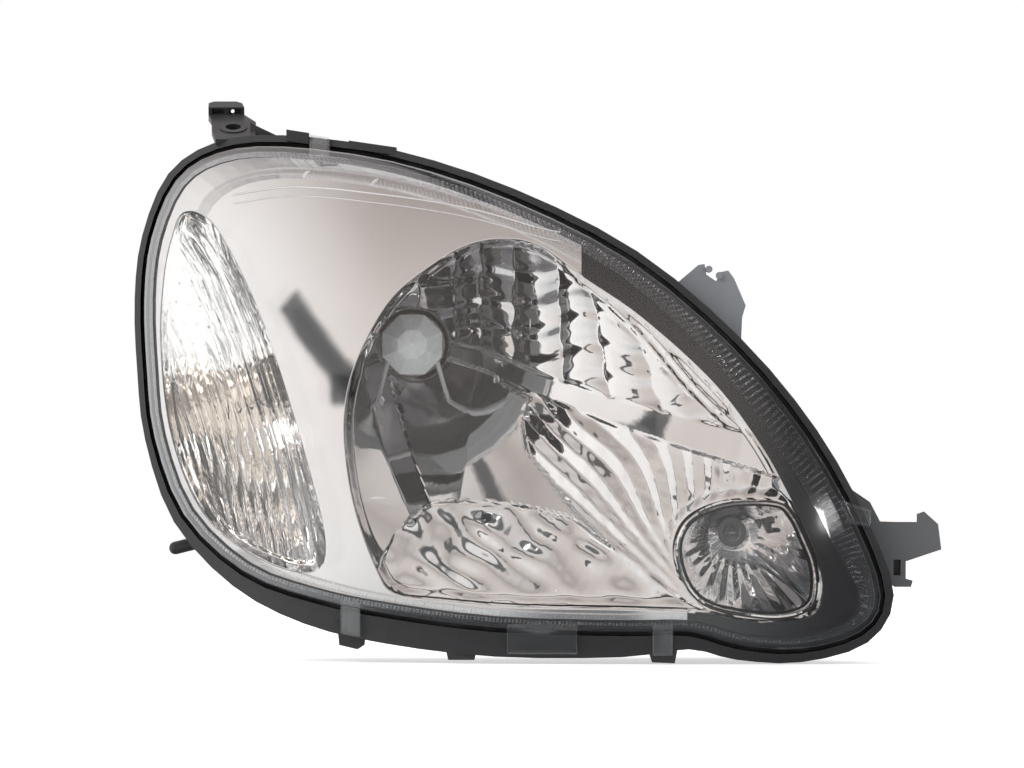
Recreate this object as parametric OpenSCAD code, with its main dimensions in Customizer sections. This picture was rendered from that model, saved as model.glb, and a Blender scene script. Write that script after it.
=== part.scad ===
// Right-hand car headlamp: clear lens, H4 main reflector that tilts inside the housing,
// park lamp in the reflector's lower corner, turn signal behind a window in the bezel.
// Millimetres. X runs inboard, Z up, Y to the rear; the lens faces -Y.
// Shapes are laid out from the H4 bulb seat and moved so that the origin is the centre
// of the upper outer mounting hole.

/* [Lens] */
// Radius of the lens dome
lens_r = 480; // [420:5:560]
// Wall thickness of the lens
lens_t = 3; // [2:0.5:4]
// Depth of the lens skirt, measured along the dome radius
skirt_d = 24.5; // [20:0.5:28]

/* [Housing] */
// Plane of the housing's rear wall
back_y = 42; // [38:1:60]
// Wall thickness of the housing
wall = 2.6; // [2:0.1:4]
// Radius of the opening behind the H4 bulb
bulb_open_r = 46; // [42:1:50]

/* [Bezels] */
// Depth of the bezel face under the dome
bezel_d = 15; // [12:0.5:20]
// Thickness of the bezel face
bezel_t = 2.2; // [1.6:0.1:3]

/* [Main reflector] */
// Width of the steep middle of the reflector
refl_b = 36; // [30:1:45]
// Depth of the reflector's rim under the dome
rim_d = 40; // [36:0.5:44]
// Thickness of the reflector
refl_t = 2.4; // [2:0.1:3]
// Radius of the neck's bore
neck_r = 20.2; // [19:0.1:22]

/* [Turn signal] */
// Radius of the bulb opening in the turn-signal reflector
turn_hole_r = 13.5; // [13:0.1:16]
// Clear bore of the holder's collar in the housing
turn_bore_r = 18; // [17:0.1:20]

/* [Aiming] */
// Radius of each aiming ball
ball_r = 5; // [4:0.5:6]
// Gap between ball and socket
ball_gap = 0.4; // [0.3:0.05:0.5]
// Plane of the aiming balls
ball_y = 8; // [6:1:14]

/* [Mounts] */
// Radius of the upper outer mounting hole
ear_hole_r = 4.5; // [4:0.1:5.5]
// Tilt of the upper outer ear
ear_tilt = 24; // [0:1:35]
// Radius of the bracket holes
bracket_hole_r = 3.3; // [3:0.1:4.5]

/* [Hidden] */

lens_c = [150, 320, -90];
bowl_c = [45, -45];
mount_hole = [-105, 8, 125];
pivot = [80, ball_y, -100];
ball_h = [-20, ball_y, -100];
ball_v = [80, ball_y, 12];
turn_c = [-98, -25];
park_c = [184, -108];
// Bezel posts: x, z, and the direction of the wall they stand by; the last two are black
posts = [[-60, 97, 90], [-20, 92, 80], [-42, -136, 250], [252, -140, -5], [229.7, -85.6, 28]];
post_len = 14;
wire_r = 1;
wire_bend_r = 1.15;
leg_r = 1.4;

black = [0.05, 0.05, 0.055];
dark = [0.16, 0.17, 0.18];
grey = [0.33, 0.35, 0.36];
silver = [0.82, 0.82, 0.84];
clear = [0.85, 0.9, 0.92, 0.35];
steel = [0.62, 0.63, 0.66];
rubber = [0.07, 0.07, 0.07];

// Outer edge of the flange, clockwise from the left
flange_pts = [
  [-162, 27], [-158, 64], [-143, 100], [-115, 118], [-75, 121.5], [-10, 112], [59, 89],
  [129, 53], [188, 3], [231, -49], [260, -101], [275, -143], [260, -170], [222, -181],
  [185, -179.5], [158, -173.5], [120, -178], [48, -178], [-15, -171], [-62, -160],
  [-103, -139], [-138, -102], [-155, -55], [-160, -15]
];
// Width of the flange outside the lens at each of those points
flange_band = [
  6.5, 6.5, 7, 7, 7, 7, 7, 7, 7, 7, 7, 8, 8, 8, 9, 10.5, 15, 17, 17.5, 16, 11, 8, 6.5, 6.5
];
// Opening in the bezels for the main reflector and park lamp, clockwise
opening_pts = [
  [9.3, 43.5], [33, 57], [56, 60], [75, 55], [98, 38.5], [131.7, 15.1], [172.3, -22],
  [198.9, -57.4], [214, -84], [224, -104], [232, -124.7], [234, -142], [228, -154.5],
  [207, -158.5], [185, -157], [166, -152.5], [120, -150.5], [60, -149.5], [15, -146],
  [-10, -142], [-20, -128], [-31, -98], [-37, -68], [-38, -38], [-31, -9], [-13, 24]
];
// How far the reflector reaches outside the opening at each of those points
opening_cover = [
  4, 4, 4, 4, 4, 4, 4, 4, 3.5, 3, 2, 1.5, 1.2, 1, 1, 1.2, 1.5, 1.5, 1.5, 2, 3, 4, 4, 4, 4, 4
];
// Turn-signal window, clockwise
window_pts = [
  [-144.4, 38], [-140, 62], [-133, 77], [-117, 71], [-98, 40], [-81, 0], [-60, -67],
  [-49.5, -113], [-57, -130], [-89, -121.5], [-120, -96.6], [-138.8, -52.4], [-145.6, 0]
];
// Park lamp rim, clockwise
park_pts = [
  [150.5, -121], [153, -106], [163, -95.7], [182.7, -89.3], [209, -89.5], [218.5, -97],
  [225.5, -111], [231, -125], [232.5, -140], [229, -151], [217, -156.5], [199, -157],
  [171, -151.5], [157, -140]
];

// Closed curve through the points, k steps between each pair
function loop(p, k) = let (n = len(p)) [
  for (i = [0 : n - 1], j = [0 : k - 1])
    let (a = p[(i + n - 1) % n], b = p[i], c = p[(i + 1) % n], d = p[(i + 2) % n], t = j / k)
      0.5 * (2 * b + (c - a) * t + (2 * a - 5 * b + 4 * c - d) * t * t
        + (3 * b - a - 3 * c + d) * t * t * t)
];
function unit(v) = v / norm(v);
function mix(a, b, t) = a + (b - a) * t;
// Clockwise loop moved inwards by d, which may be one number or one for each point
function inset(p, d) = let (n = len(p)) [
  for (i = [0 : n - 1])
    let (t = unit(p[(i + 1) % n] - p[(i + n - 1) % n]), e = is_list(d) ? d[i] : d)
      p[i] + e * [t[1], -t[0]]
];
// Depth coordinate of the dome, d inside its surface
function dome_y(p, d) = lens_c[1]
  - sqrt(pow(lens_r - d, 2) - pow(p[0] - lens_c[0], 2) - pow(p[1] - lens_c[2], 2));
// Loop inset by d and laid on the dome at depth e
function rim(p, d, e) = [for (q = inset(p, d)) [q[0], dome_y(q, e), q[1]]];
// Ring of the housing's bowl: drawn in towards bowl_c by s and back by f
function bowl(p, d, s, f, dy) = [
  for (q = inset(p, d))
    let (y = dome_y(q, 33), m = mix(q, bowl_c, s)) [m[0], mix(y, back_y, f) + dy, m[1]]
];
// Depth coordinate of the main reflector's bright face
// steep round the bulb, levelling out under the rim
function refl_y(p) = let (
    a = refl_b * refl_b / 54, e = -dome_y(p, rim_d + 11),
    d = a * (sqrt(1 + (p * p) / (refl_b * refl_b)) - 1) + 3
  ) -pow(pow(d, -4) + pow(e, -4), -0.25);

flange_loop = loop(flange_pts, 3);
lens_loop = loop(inset(flange_pts, flange_band), 3);
opening = loop(opening_pts, 3);
refl_loop = loop(inset(opening_pts, -opening_cover), 3);
window = loop(window_pts, 4);
park_loop = loop(park_pts, 4);

module at_frame() { translate(-mount_hole) children(); }
// Flat XZ shape drawn out from y0 to y1
module deep(y0, y1) {
  translate([0, y1, 0]) rotate([90, 0, 0]) linear_extrude(height = y1 - y0) children();
}
// Round bar along Y
module bar(x, z, y0, y1, r) {
  translate([x, y1, z]) rotate([90, 0, 0]) cylinder(h = y1 - y0, r = r, $fn = 48);
}
module pipe(x, z, y0, y1, ro, ri) {
  difference() {
    bar(x, z, y0, y1, ro);
    bar(x, z, y0 - 1, y1 + 1, ri);
  }
}
module ball(p, r) { translate(p) sphere(r = r, $fn = 48); }
module rod(a, b, r) {
  v = b - a;
  translate(a) rotate([0, acos(v[2] / norm(v)), atan2(v[1], v[0])])
    cylinder(h = norm(v), r = r, $fn = 24);
}
module dome(d) { translate(lens_c) sphere(r = lens_r - d, $fn = 120); }
// Part of the dome layer between depths d0 and d1 that lies in the 2D children
module layer(d0, d1) {
  difference() {
    intersection() {
      dome(d0);
      deep(-190, 60) children();
    }
    dome(d1);
  }
}
module band(p, d0, d1) {
  difference() {
    polygon(inset(p, d0));
    polygon(inset(p, d1));
  }
}
// Closed surface through rings of equal length; caps at both ends unless joined up
module skin(rings, joined) {
  n = len(rings[0]);
  m = len(rings);
  p = [for (r = rings) each r];
  mid = [for (k = [0, m - 1]) [for (c = [0 : 2]) [for (q = rings[k]) q[c]] * [for (q = rings[k]) 1] / n]];
  last = joined ? m : m - 1;
  polyhedron(points = concat(p, joined ? [] : mid), faces = concat(
    [for (k = [0 : last - 1], i = [0 : n - 1])
      [k * n + i, ((k + 1) % m) * n + i, ((k + 1) % m) * n + (i + 1) % n]],
    [for (k = [0 : last - 1], i = [0 : n - 1])
      [k * n + i, ((k + 1) % m) * n + (i + 1) % n, k * n + (i + 1) % n]],
    joined ? [] : [for (i = [0 : n - 1]) [m * n, i, (i + 1) % n]],
    joined ? [] : [for (i = [0 : n - 1]) [m * n + 1, (m - 1) * n + (i + 1) % n, (m - 1) * n + i]]
  ));
}

// Flange, lens channel, bowl and rear wall: from the inside out
module shell() {
  skin([
    bowl(lens_loop, wall, 0.34, 1, -wall), bowl(lens_loop, wall, 0.24, 0.91, -wall),
    bowl(lens_loop, wall, 0.12, 0.6, -1), bowl(lens_loop, wall, 0.02, 0.28, 0),
    rim(lens_loop, wall, 35.5), rim(lens_loop, 6.7, 33), rim(lens_loop, 6.7, 19.5),
    rim(lens_loop, 4.9, 19), rim(lens_loop, 4.7, 28), rim(lens_loop, -3, 28),
    rim(lens_loop, -3, 13), rim(flange_loop, 0, 13), rim(flange_loop, 0, 21),
    rim(lens_loop, -5, 23), rim(lens_loop, -5, 31.5), rim(lens_loop, 0, 34),
    bowl(lens_loop, 0, 0.02, 0.28, 0), bowl(lens_loop, 0, 0.12, 0.62, 0),
    bowl(lens_loop, 0, 0.24, 0.93, 0), bowl(lens_loop, 0, 0.34, 1, 0)
  ], false);
}

module ear() {
  difference() {
    union() {
      translate(mount_hole) rotate([ear_tilt, 0, 0]) {
        translate([0, 0, -1.75]) linear_extrude(height = 3.5) polygon([
          [-10, -17], [-12.5, -3], [-13, 12], [-15, 20], [-14, 27.5], [3.5, 27.5], [6, 20], [13, 9],
          [13, -12], [6, -17]
        ]);
        translate([0, 0, -2.5]) linear_extrude(height = 9) polygon([
          [-15, 20], [-15, 26.5], [-12, 29], [1, 29], [4.5, 26.5], [6, 20]
        ]);
        cylinder(h = 5, r = 8, $fn = 48, center = true);
      }
      // gusset towards the flange and web down to the wall
      deep(4, 7) polygon([[-95, 116], [-95, 129.8], [-91, 127.6], [-74, 119.5], [-74, 112]]);
      translate([-107, 0, 0]) rotate([90, 0, 90]) linear_extrude(height = 3)
        polygon([[-5, 117.2], [-5, 117.6], [30, 133.6], [22, 112], [14, 104], [10, 108], [10, 117.2]]);
    }
    translate(mount_hole) rotate([ear_tilt, 0, 0]) {
      cylinder(h = 12, r = ear_hole_r, $fn = 48, center = true);
      // room for a nut below, two pockets and a drain in the head
      translate([0, 0, -14.5]) cylinder(h = 12, r = 6.5, $fn = 48);
      translate([-13, 18, 1.5]) cube([7, 7, 4]);
      translate([-3, 18, 1.5]) cube([7, 7, 4]);
      translate([-1, 16, 6]) rotate([-90 - ear_tilt, 0, 0]) cylinder(h = 20, r = 1.1, $fn = 24);
    }
  }
}

module housing() {
  color(dark) {
    difference() {
      union() {
        shell();
        bar(0, 0, 34, 56, bulb_open_r + 3);
        bar(turn_c[0], turn_c[1], 28, 48, turn_bore_r + 3.5);
        bar(ball_v[0], ball_v[2], 38, 46, 25);
        bar(ball_h[0], ball_h[2], 38, 46, 12);
        bar(pivot[0], pivot[2], 34, 50, 8);
        bar(150, -50, 36, 50, 7);
        bar(175, -85, 36, 48, 9);
        // ribs across the rear wall
        for (a = [18, 62, 118, 160, 205, 250, 295, 338]) rotate([0, -a, 0])
          translate([bulb_open_r + 1, 39, -1.2]) cube([a > 100 && a < 170 ? 22 : 26, 6.9, 2.4]);
        translate([96, 39, -48]) rotate([0, 20, 0]) cube([62, 7, 2.4]);
        translate([20, 39, -86]) cube([80, 6, 2.4]);
      }
      bar(0, 0, 20, 60, bulb_open_r);
      bar(turn_c[0], turn_c[1], 20, 60, turn_bore_r);
      for (a = [0, 180]) translate([turn_c[0], 0, turn_c[1]])
        rotate([0, a, 0]) translate([turn_bore_r - 1, 26, -3.2]) cube([3, 30, 6.4]);
      bar(ball_v[0], ball_v[2], 20, 60, 13);
      bar(ball_h[0], ball_h[2], 20, 60, 6.5);
      bar(pivot[0], pivot[2], 20, 60, 4);
      bar(150, -50, 20, 60, 4);
      bar(175, -85, 20, 60, 6);
    }
    ear();
    // latch blocks round the flange
    deep(-44, -26) polygon([[-73, 118], [-73, 124.5], [-60, 122.5], [-60, 116]]);
    deep(-70, -54) polygon([[-36.5, 113], [-36.5, 117.5], [-9, 113.5], [-9, 109]]);
    deep(-121, -109) polygon([[18.6, -170], [21, -180], [36, -180], [38.3, -170]]);
    deep(-101, -86) polygon([[-43, -158], [-41.5, -172], [-31, -174.5], [-27, -172], [-26, -160]]);
    deep(-137, -123) polygon([[133, -168], [137, -181], [150, -181.5], [153, -166]]);
    // lower outer locating pin with its gusset
    rod([-114, -20, -111.8], [-126.13, -20, -114.81], 5.4);
    rod([-125.16, -20, -114.57], [-137.8, -20, -117.7], 3.75);
    ball([-137.8, -20, -117.7], 3.75);
    deep(-24, -14) polygon([[-117, -106], [-124, -118.5], [-113, -131], [-101, -121], [-111, -110]]);
    for (p = posts) bezel_lug(p);
    // bosses for the two brackets
    for (p = [[160, 25], [181, 4]]) difference() {
      union() {
        bar(p[0], p[1], -103.7, -88, 5.5);
        deep(-103.7, -88) polygon([p + [-9, -13], p + [-5, 2], p + [4, -3], p + [0, -14]]);
      }
      bar(p[0], p[1], -120, -80, 2.6);
    }
    for (p = [[254, -94], [266, -124]]) difference() {
      union() {
        bar(p[0], p[1], -99.7, -84, 5.5);
        deep(-99.7, -84) polygon([p + [-16, -4], p + [-14, 5], p + [0, 4], p + [0, -4]]);
      }
      bar(p[0], p[1], -120, -80, 2.6);
    }
  }
}

module lens() {
  color(clear) {
    difference() {
      intersection() {
        dome(0);
        deep(-190, 60) polygon(lens_loop);
      }
      intersection() {
        dome(lens_t);
        deep(-195, 65) polygon(inset(lens_loop, lens_t));
      }
      dome(skirt_d);
    }
    // latch tabs over the flange
    layer(9, 12) polygon([[-59.5, 108], [-59.5, 121.5], [-48, 119.5], [-48, 108]]);
    layer(9, 12) polygon([[55, -158], [55, -175.5], [94, -175.5], [94, -158]]);
    layer(9, 12) polygon([[243, -88], [262, -94], [261, -104], [249, -102]]);
    layer(9, 12) polygon([[-40, -146], [-40, -165], [-30, -167], [-30, -148]]);
    layer(9, 12) polygon([[138, -158], [138, -176.5], [148, -176.5], [148, -158]]);
  }
}

module lens_seal() {
  color(rubber) difference() {
    layer(22, 27.7) band(lens_loop, -2.7, 4.4);
    layer(20, 24.8) band(lens_loop, -0.3, 3.3);
  }
}

// Everything inboard and below belongs to the black bezel
module black_zone(gap) {
  polygon([
    [97 + gap, 0], [97 + gap, 62], [103 + gap, 130], [320, 130], [320, -230],
    [157 + gap, -230], [157 + gap, -140], [150, -80]
  ]);
}
module bezel_face() {
  layer(bezel_d, bezel_d + bezel_t) difference() {
    polygon(inset(lens_loop, 6.2));
    polygon(opening);
    polygon(window);
  }
  layer(bezel_d, 18.7) band(lens_loop, 6.2, 8);
  layer(bezel_d, 22) difference() {
    polygon(inset(opening, -2));
    polygon(opening);
  }
}

function post_y(p) = dome_y([p[0], p[1]], bezel_d) + post_len;
module bezel_post(p) {
  difference() {
    bar(p[0], p[1], post_y(p) - post_len + 1, post_y(p), 3.5);
    bar(p[0], p[1], post_y(p) - 9, post_y(p) + 1, 1.9);
  }
}
// The housing's lug behind a bezel post, with its web to the channel wall
module bezel_lug(p) {
  y = post_y(p) + 0.3;
  difference() {
    union() {
      bar(p[0], p[1], y, y + 10, 4.5);
      deep(y, y + 10) intersection() {
        translate([p[0], p[1]]) rotate(p[2]) translate([0, -2]) square([16, 4]);
        polygon(inset(lens_loop, 6.4));
      }
    }
    bar(p[0], p[1], y - 1, y + 11, 2);
  }
}

module chrome_bezel() {
  color(silver) {
    difference() {
      bezel_face();
      deep(-200, 70) black_zone(-0.25);
    }
    layer(bezel_d, 22) intersection() {
      polygon(inset(lens_loop, 6.2));
      difference() {
        polygon(inset(window, -1.2));
        polygon(window);
      }
    }
    for (i = [0 : 2]) bezel_post(posts[i]);
  }
}

module black_bezel() {
  color(black) {
    intersection() {
      bezel_face();
      deep(-200, 70) black_zone(0.25);
    }
    for (i = [3 : 4]) bezel_post(posts[i]);
  }
}

// Screws from behind, through the housing's lugs into the bezel posts
module bezel_screws() {
  color(steel) for (p = posts) let (y = post_y(p) + 10.4) difference() {
    union() {
      bar(p[0], p[1], y, y + 2.8, 4);
      bar(p[0], p[1], y - 18, y + 0.1, 1.8);
    }
    translate([p[0] - 2.5, y + 1.4, p[1] - 0.5]) cube([5, 2, 1]);
    translate([p[0] - 0.5, y + 1.4, p[1] - 2.5]) cube([1, 2, 5]);
  }
}

// Ring of the main reflector: t runs from the neck to the edge
function refl_ring(t, d, dy) = [
  for (q = inset(refl_loop, d)) let (m = mix(unit(q) * (neck_r + 4), q, t)) [m[0], refl_y(m) + dy, m[1]]
];
module boss(p) {
  translate([p[0], ball_y - 12, p[2]]) rotate([90, 0, 0])
    cylinder(h = ball_y - 13 - refl_y([p[0], p[2]]), r1 = 10.8, r2 = 12.5, $fn = 48);
}

module main_reflector() {
  color(silver) difference() {
    union() {
      skin([
        refl_ring(0, 2, 0), refl_ring(0.1, 2, 0), refl_ring(0.25, 2, 0), refl_ring(0.5, 2, 0),
        refl_ring(0.75, 2, 0), refl_ring(1, 2, 0), rim(refl_loop, 0, rim_d),
        rim(refl_loop, -refl_t, rim_d), refl_ring(1, 2 - refl_t, refl_t),
        refl_ring(0.75, 2, refl_t), refl_ring(0.5, 2, refl_t), refl_ring(0.25, 2, refl_t),
        refl_ring(0.1, 2, refl_t), refl_ring(0, 2, refl_t)
      ], true);
      pipe(0, 0, -8, 0, 27, neck_r);
      pipe(0, 0, -4, 2, 27, 22.2);
      for (p = [pivot, ball_v, ball_h]) boss(p);
      pipe(pivot[0], pivot[2], ball_y - 14, ball_y + 5, 11, 8.6);
      // stiffening ribs on the back
      for (b = [[pivot, ball_h], [pivot, ball_v]]) let (p = b[0], q = b[1])
        translate([p[0], 0, p[2]]) rotate([0, -atan2(q[2] - p[2], q[0] - p[0]), 0])
          translate([7, -34, -1.1]) cube([norm(q - p) - 14, 22, 2.2]);
      // pads under the shield's feet
      for (x = [-1, 1]) bar(x * 21, -33, -16.5, -9.1, 4.5);
      // hinge ears of the bulb clip
      for (z = [-1, 1]) translate([-34, -6, z * 15 - 3]) cube([10, 13, 6]);
    }
    deep(-140, -70) polygon(inset(park_loop, 2.5));
    bar(pivot[0], pivot[2], ball_y - 14, ball_y + 10, 8.6);
    translate([-30.5, 4.2, -30]) cylinder(h = 60, r = 1.08, $fn = 24);
    for (x = [-1, 1]) bar(x * 21, -33, -20, -5, 1.6);
  }
}

// Ring of the park lamp's cup: t runs from the rim to the bulb's collar
function park_ring(t, d, dy) = [
  for (q = inset(park_loop, d)) let (c = unit(q - park_c) * 8.4 + park_c, m = mix(q, c, t))
    [m[0], mix(dome_y(q, rim_d - 1), -72, sin(90 * t)) + dy, m[1]]
];
// Foot of its collar, just clear of the main reflector
function park_foot(d) = [for (q = inset(park_loop, d)) [q[0], refl_y(q) - 0.4, q[1]]];

module park_reflector() {
  color(silver) {
    skin([
      park_ring(1, 3, 0), park_ring(0.7, 3, 0), park_ring(0.35, 3, 0), park_ring(0.12, 3, 0),
      park_ring(0, 2.4, 0), park_ring(0, 1.4, -1.2), park_ring(0, 0.3, 0), park_foot(0.6),
      park_foot(2.2), park_ring(0.12, 3.4, 2), park_ring(0.35, 3.4, 1.8), park_ring(0.7, 3, 1.8),
      park_ring(1, 3, 1.8)
    ], true);
    pipe(park_c[0], park_c[1], -71, -60, 10.6, 8.3);
  }
}

module park_socket() {
  color(grey) difference() {
    union() {
      bar(park_c[0], park_c[1], -70, -57, 8);
      bar(park_c[0], park_c[1], -59.8, -54, 13.2);
      bar(park_c[0], park_c[1], -54, -38, 9);
      for (z = [-1, 1]) translate([park_c[0] - 1.5, -54, park_c[1] + z * 10 - 2]) cube([3, 12, 4]);
    }
    bar(park_c[0], park_c[1], -72, -58, 5.3);
    translate([park_c[0] - 5, -46, park_c[1] - 3]) cube([10, 10, 6]);
  }
}
module park_bulb() {
  color(clear) difference() {
    union() {
      bar(park_c[0], park_c[1], -84, -68, 5);
      ball([park_c[0], -84, park_c[1]], 5);
      translate([park_c[0] - 4.6, -68.5, park_c[1] - 1.2]) cube([9.2, 10, 2.4]);
    }
    bar(park_c[0], park_c[1], -84, -72, 4.3);
    ball([park_c[0], -84, park_c[1]], 4.3);
  }
}
module park_filament() {
  color(steel) {
    for (x = [-2, 2]) rod([park_c[0] + x, -72.5, park_c[1]], [park_c[0] + x, -82, park_c[1]], 0.25);
    rod([park_c[0] - 2, -82, park_c[1]], [park_c[0] + 2, -82, park_c[1]], 0.45);
  }
}

// Ring of the bulb shield, clockwise
function shield_ring(r, y) = [for (i = [7 : -1 : 0]) let (a = 45 * i + 22.5) [r * cos(a), y, r * sin(a)]];

// Faceted cap: eight-sided, coming to a blunt point, open to the rear
module bulb_shield() {
  color(silver) {
    skin([
      shield_ring(1, -84), shield_ring(9, -80.9), shield_ring(18.5, -73.2), shield_ring(18.5, -60),
      shield_ring(17, -60), shield_ring(17, -72.6), shield_ring(8.2, -79.4), shield_ring(1, -82.2)
    ], false);
    // legs down to the reflector, with their feet
    for (x = [-1, 1]) {
      rod([x * 14, -61, -9], [x * 19, -34, -27], leg_r);
      ball([x * 19, -34, -27], leg_r + 0.2);
      rod([x * 19, -34, -27], [x * 21, -17.6, -33], leg_r);
      bar(x * 21, -33, -18.6, -16.6, 4);
    }
  }
}
module shield_screws() {
  color(steel) for (x = [-1, 1]) difference() {
    union() {
      bar(x * 21, -33, -16.5, -8.9, 1.5);
      bar(x * 21, -33, -9, -7, 3.2);
    }
    translate([x * 21 - 3.5, -7.8, -33.4]) cube([7, 1, 0.8]);
  }
}
module h4_base() {
  color(steel) {
    difference() {
      union() {
        bar(0, 0, 0.05, 1.25, 21.5);
        bar(0, 0, 1.2, 24, 18);
        bar(0, 0, -8, 0.1, 11.5);
        bar(0, 0, -14, -8, 10);
      }
      bar(0, 0, -15, -6, 8.8);
    }
    for (a = [0, 120, 240]) rotate([0, -a, 0]) translate([17, 1.2, -4]) cube([4, 1, 8]);
  }
}
module h4_glass() {
  color(clear) difference() {
    union() {
      bar(0, 0, -50, -6.2, 8.5);
      translate([0, -50, 0]) rotate([90, 0, 0]) cylinder(h = 6, r1 = 8.5, r2 = 4.5, $fn = 48);
    }
    bar(0, 0, -50, -9, 7.5);
    translate([0, -49.9, 0]) rotate([90, 0, 0]) cylinder(h = 4.8, r1 = 7.5, r2 = 3.8, $fn = 48);
  }
}
module h4_filaments() {
  color(steel) {
    for (x = [-3.5, 0, 3.5]) rod([x, -9.5, -1], [x, x == 0 ? -22 : -42, -1], 0.45);
    rod([0, -22, -1], [0, -28.5, 1], 0.9);
    rod([-3.5, -29.5, -1], [-1.2, -31, 2.4], 0.4);
    rod([-1.2, -31, 2.4], [-1.2, -37, 2.4], 0.9);
    // dipping cup under the passing-beam filament
    difference() {
      bar(0, 0, -40, -28, 5.6);
      bar(0, 0, -41, -30, 5);
      translate([-8, -42, 0]) cube([16, 16, 8]);
    }
  }
}
module h4_terminals() {
  color(steel) {
    for (p = [[-9, -4], [1, -4]]) translate([p[0], 24, p[1]]) cube([8, 10, 0.8]);
    translate([-0.4, 24, 2]) cube([0.8, 10, 8]);
  }
}

// Spring-wire clip: hinge bar, two arms outside the bulb base, end loop
module bulb_clip() {
  color(steel) {
    rod([-30.5, 4.2, -23.6], [-30.5, 4.2, 23.6], wire_r);
    for (s = [-1, 1]) {
      ball([-30.5, 4.2, s * 23.6], wire_bend_r);
      rod([-30.5, 4.2, s * 23.6], [0, 4.2, s * 23.6], wire_r);
      ball([0, 4.2, s * 23.6], wire_bend_r);
      rod([0, 4.2, s * 23.6], [3, 2.5, s * 20], wire_r);
      ball([3, 2.5, s * 20], wire_bend_r);
      rod([3, 2.5, s * 20], [6, 4.2, s * 23.6], wire_r);
      ball([6, 4.2, s * 23.6], wire_bend_r);
      rod([6, 4.2, s * 23.6], [24, 4.6, s * 10], wire_r);
      ball([24, 4.6, s * 10], wire_bend_r);
    }
    rod([24, 4.6, -10], [24, 4.6, 10], wire_r);
  }
}
module clip_screws() {
  color(steel) for (s = [-1, 1]) {
    bar(-29, s * 15, 7.1, 9, 2.8);
  }
}

module dust_boot() {
  color(rubber) translate([0, 0, 0]) rotate([-90, 0, 0]) rotate_extrude($fn = 96) polygon([
    [20, 18], [22, 18], [22.4, 31], [30, 36], [34, 44], [39, 44], [42, 52], [44, 57.6], [49.5, 57.6],
    [49.5, 47], [52, 47], [52, 60], [43, 60], [40, 54.6], [38, 46.6], [33, 46.6], [28, 38.6], [20.4, 33.2]
  ]);
}

// Ring of the turn-signal bowl
function turn_ring(t, d, dy) = [
  for (q = inset(window, d)) let (c = unit(q - turn_c) * (turn_hole_r + 0.4) + turn_c, m = mix(q, c, t))
    [m[0], mix(dome_y(q, 22.6), 9, sin(90 * t)) + dy, m[1]]
];
module turn_reflector() {
  color(silver) {
    skin([
      turn_ring(1, 0, 0), turn_ring(0.75, 0, 0), turn_ring(0.5, 0, 0), turn_ring(0.25, 0, 0),
      turn_ring(0.08, 0, 0), turn_ring(0, 0, 0), turn_ring(0, -1, 0), turn_ring(0, -1, 2),
      turn_ring(0.08, -1, 2), turn_ring(0.25, -1, 2), turn_ring(0.5, -1, 2),
      turn_ring(0.75, -1, 2), turn_ring(1, 0, 2)
    ], true);
    pipe(turn_c[0], turn_c[1], 9.5, 17, turn_hole_r + 2.4, turn_hole_r);
  }
}
module turn_lens() {
  color(clear) {
    layer(18, 20.4) polygon(inset(window, 0.5));
    layer(18, 22) band(window, 0.5, 2.6);
  }
}
module turn_gasket() {
  color(rubber) pipe(turn_c[0], turn_c[1], 48.2, 50.4, 21, 18.2);
}
module turn_socket() {
  color(grey) translate([turn_c[0], 0, turn_c[1]]) {
    difference() {
      union() {
        bar(0, 0, 24, 51, turn_bore_r - 0.6);
        bar(0, 0, 50.6, 54, 22.5);
        // locking lugs, a sixth of a turn from the collar's slots
        for (a = [60, 240]) rotate([0, a, 0]) translate([16, 24.2, -2.7]) cube([3.7, 3.4, 5.4]);
        bar(0, 0, 54, 70, 13);
        translate([-19, 54, -3]) cube([38, 12, 6]);
      }
      bar(0, 0, 22, 49, 8.2);
      translate([-8, 58, -5]) cube([16, 20, 10]);
    }
    for (x = [-1, 1]) translate([x * 7 - 0.4, 58, -3]) cube([0.8, 9, 6]);
  }
}
module turn_bulb_base() {
  color(steel) translate([turn_c[0], 0, turn_c[1]]) {
    bar(0, 0, 15, 34, 7.6);
    bar(0, 0, 34, 36, 5);
    for (x = [-1, 1]) translate([x * 7.4, 27, 0]) rotate([0, 90, 0]) cylinder(h = 2, r = 0.9, center = true, $fn = 24);
  }
}
module turn_bulb() {
  color([0.9, 0.62, 0.3, 0.6]) translate([turn_c[0], 0, turn_c[1]]) difference() {
    union() {
      bar(0, 0, -14, -2, 12);
      ball([0, -14, 0], 12);
      translate([0, 14.8, 0]) rotate([90, 0, 0]) cylinder(h = 17, r1 = 7.4, r2 = 12, $fn = 48);
    }
    bar(0, 0, -14, -2.1, 11);
    ball([0, -14, 0], 11);
    translate([0, 11, 0]) rotate([90, 0, 0]) cylinder(h = 13.3, r1 = 6.6, r2 = 11, $fn = 48);
  }
}
module turn_filament() {
  color(steel) translate([turn_c[0], 0, turn_c[1]]) {
    for (x = [-3, 3]) rod([x, 11.4, 0], [x, -8, 0], 0.35);
    rod([-3, -8, 0], [3, -8, 0], 0.7);
    translate([0, 7, 0]) cube([9, 1.2, 2.4], center = true);
  }
}

module pivot_stud() {
  color(steel) {
    ball(pivot, ball_r);
    bar(pivot[0], pivot[2], ball_y + 3, 50, 3);
    bar(pivot[0], pivot[2], 33, 50.2, 3.9);
    difference() {
      bar(pivot[0], pivot[2], 50.2, 54, 7);
      translate([pivot[0] - 4, 52.4, pivot[2] - 0.7]) cube([8, 3, 1.4]);
    }
  }
}
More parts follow.
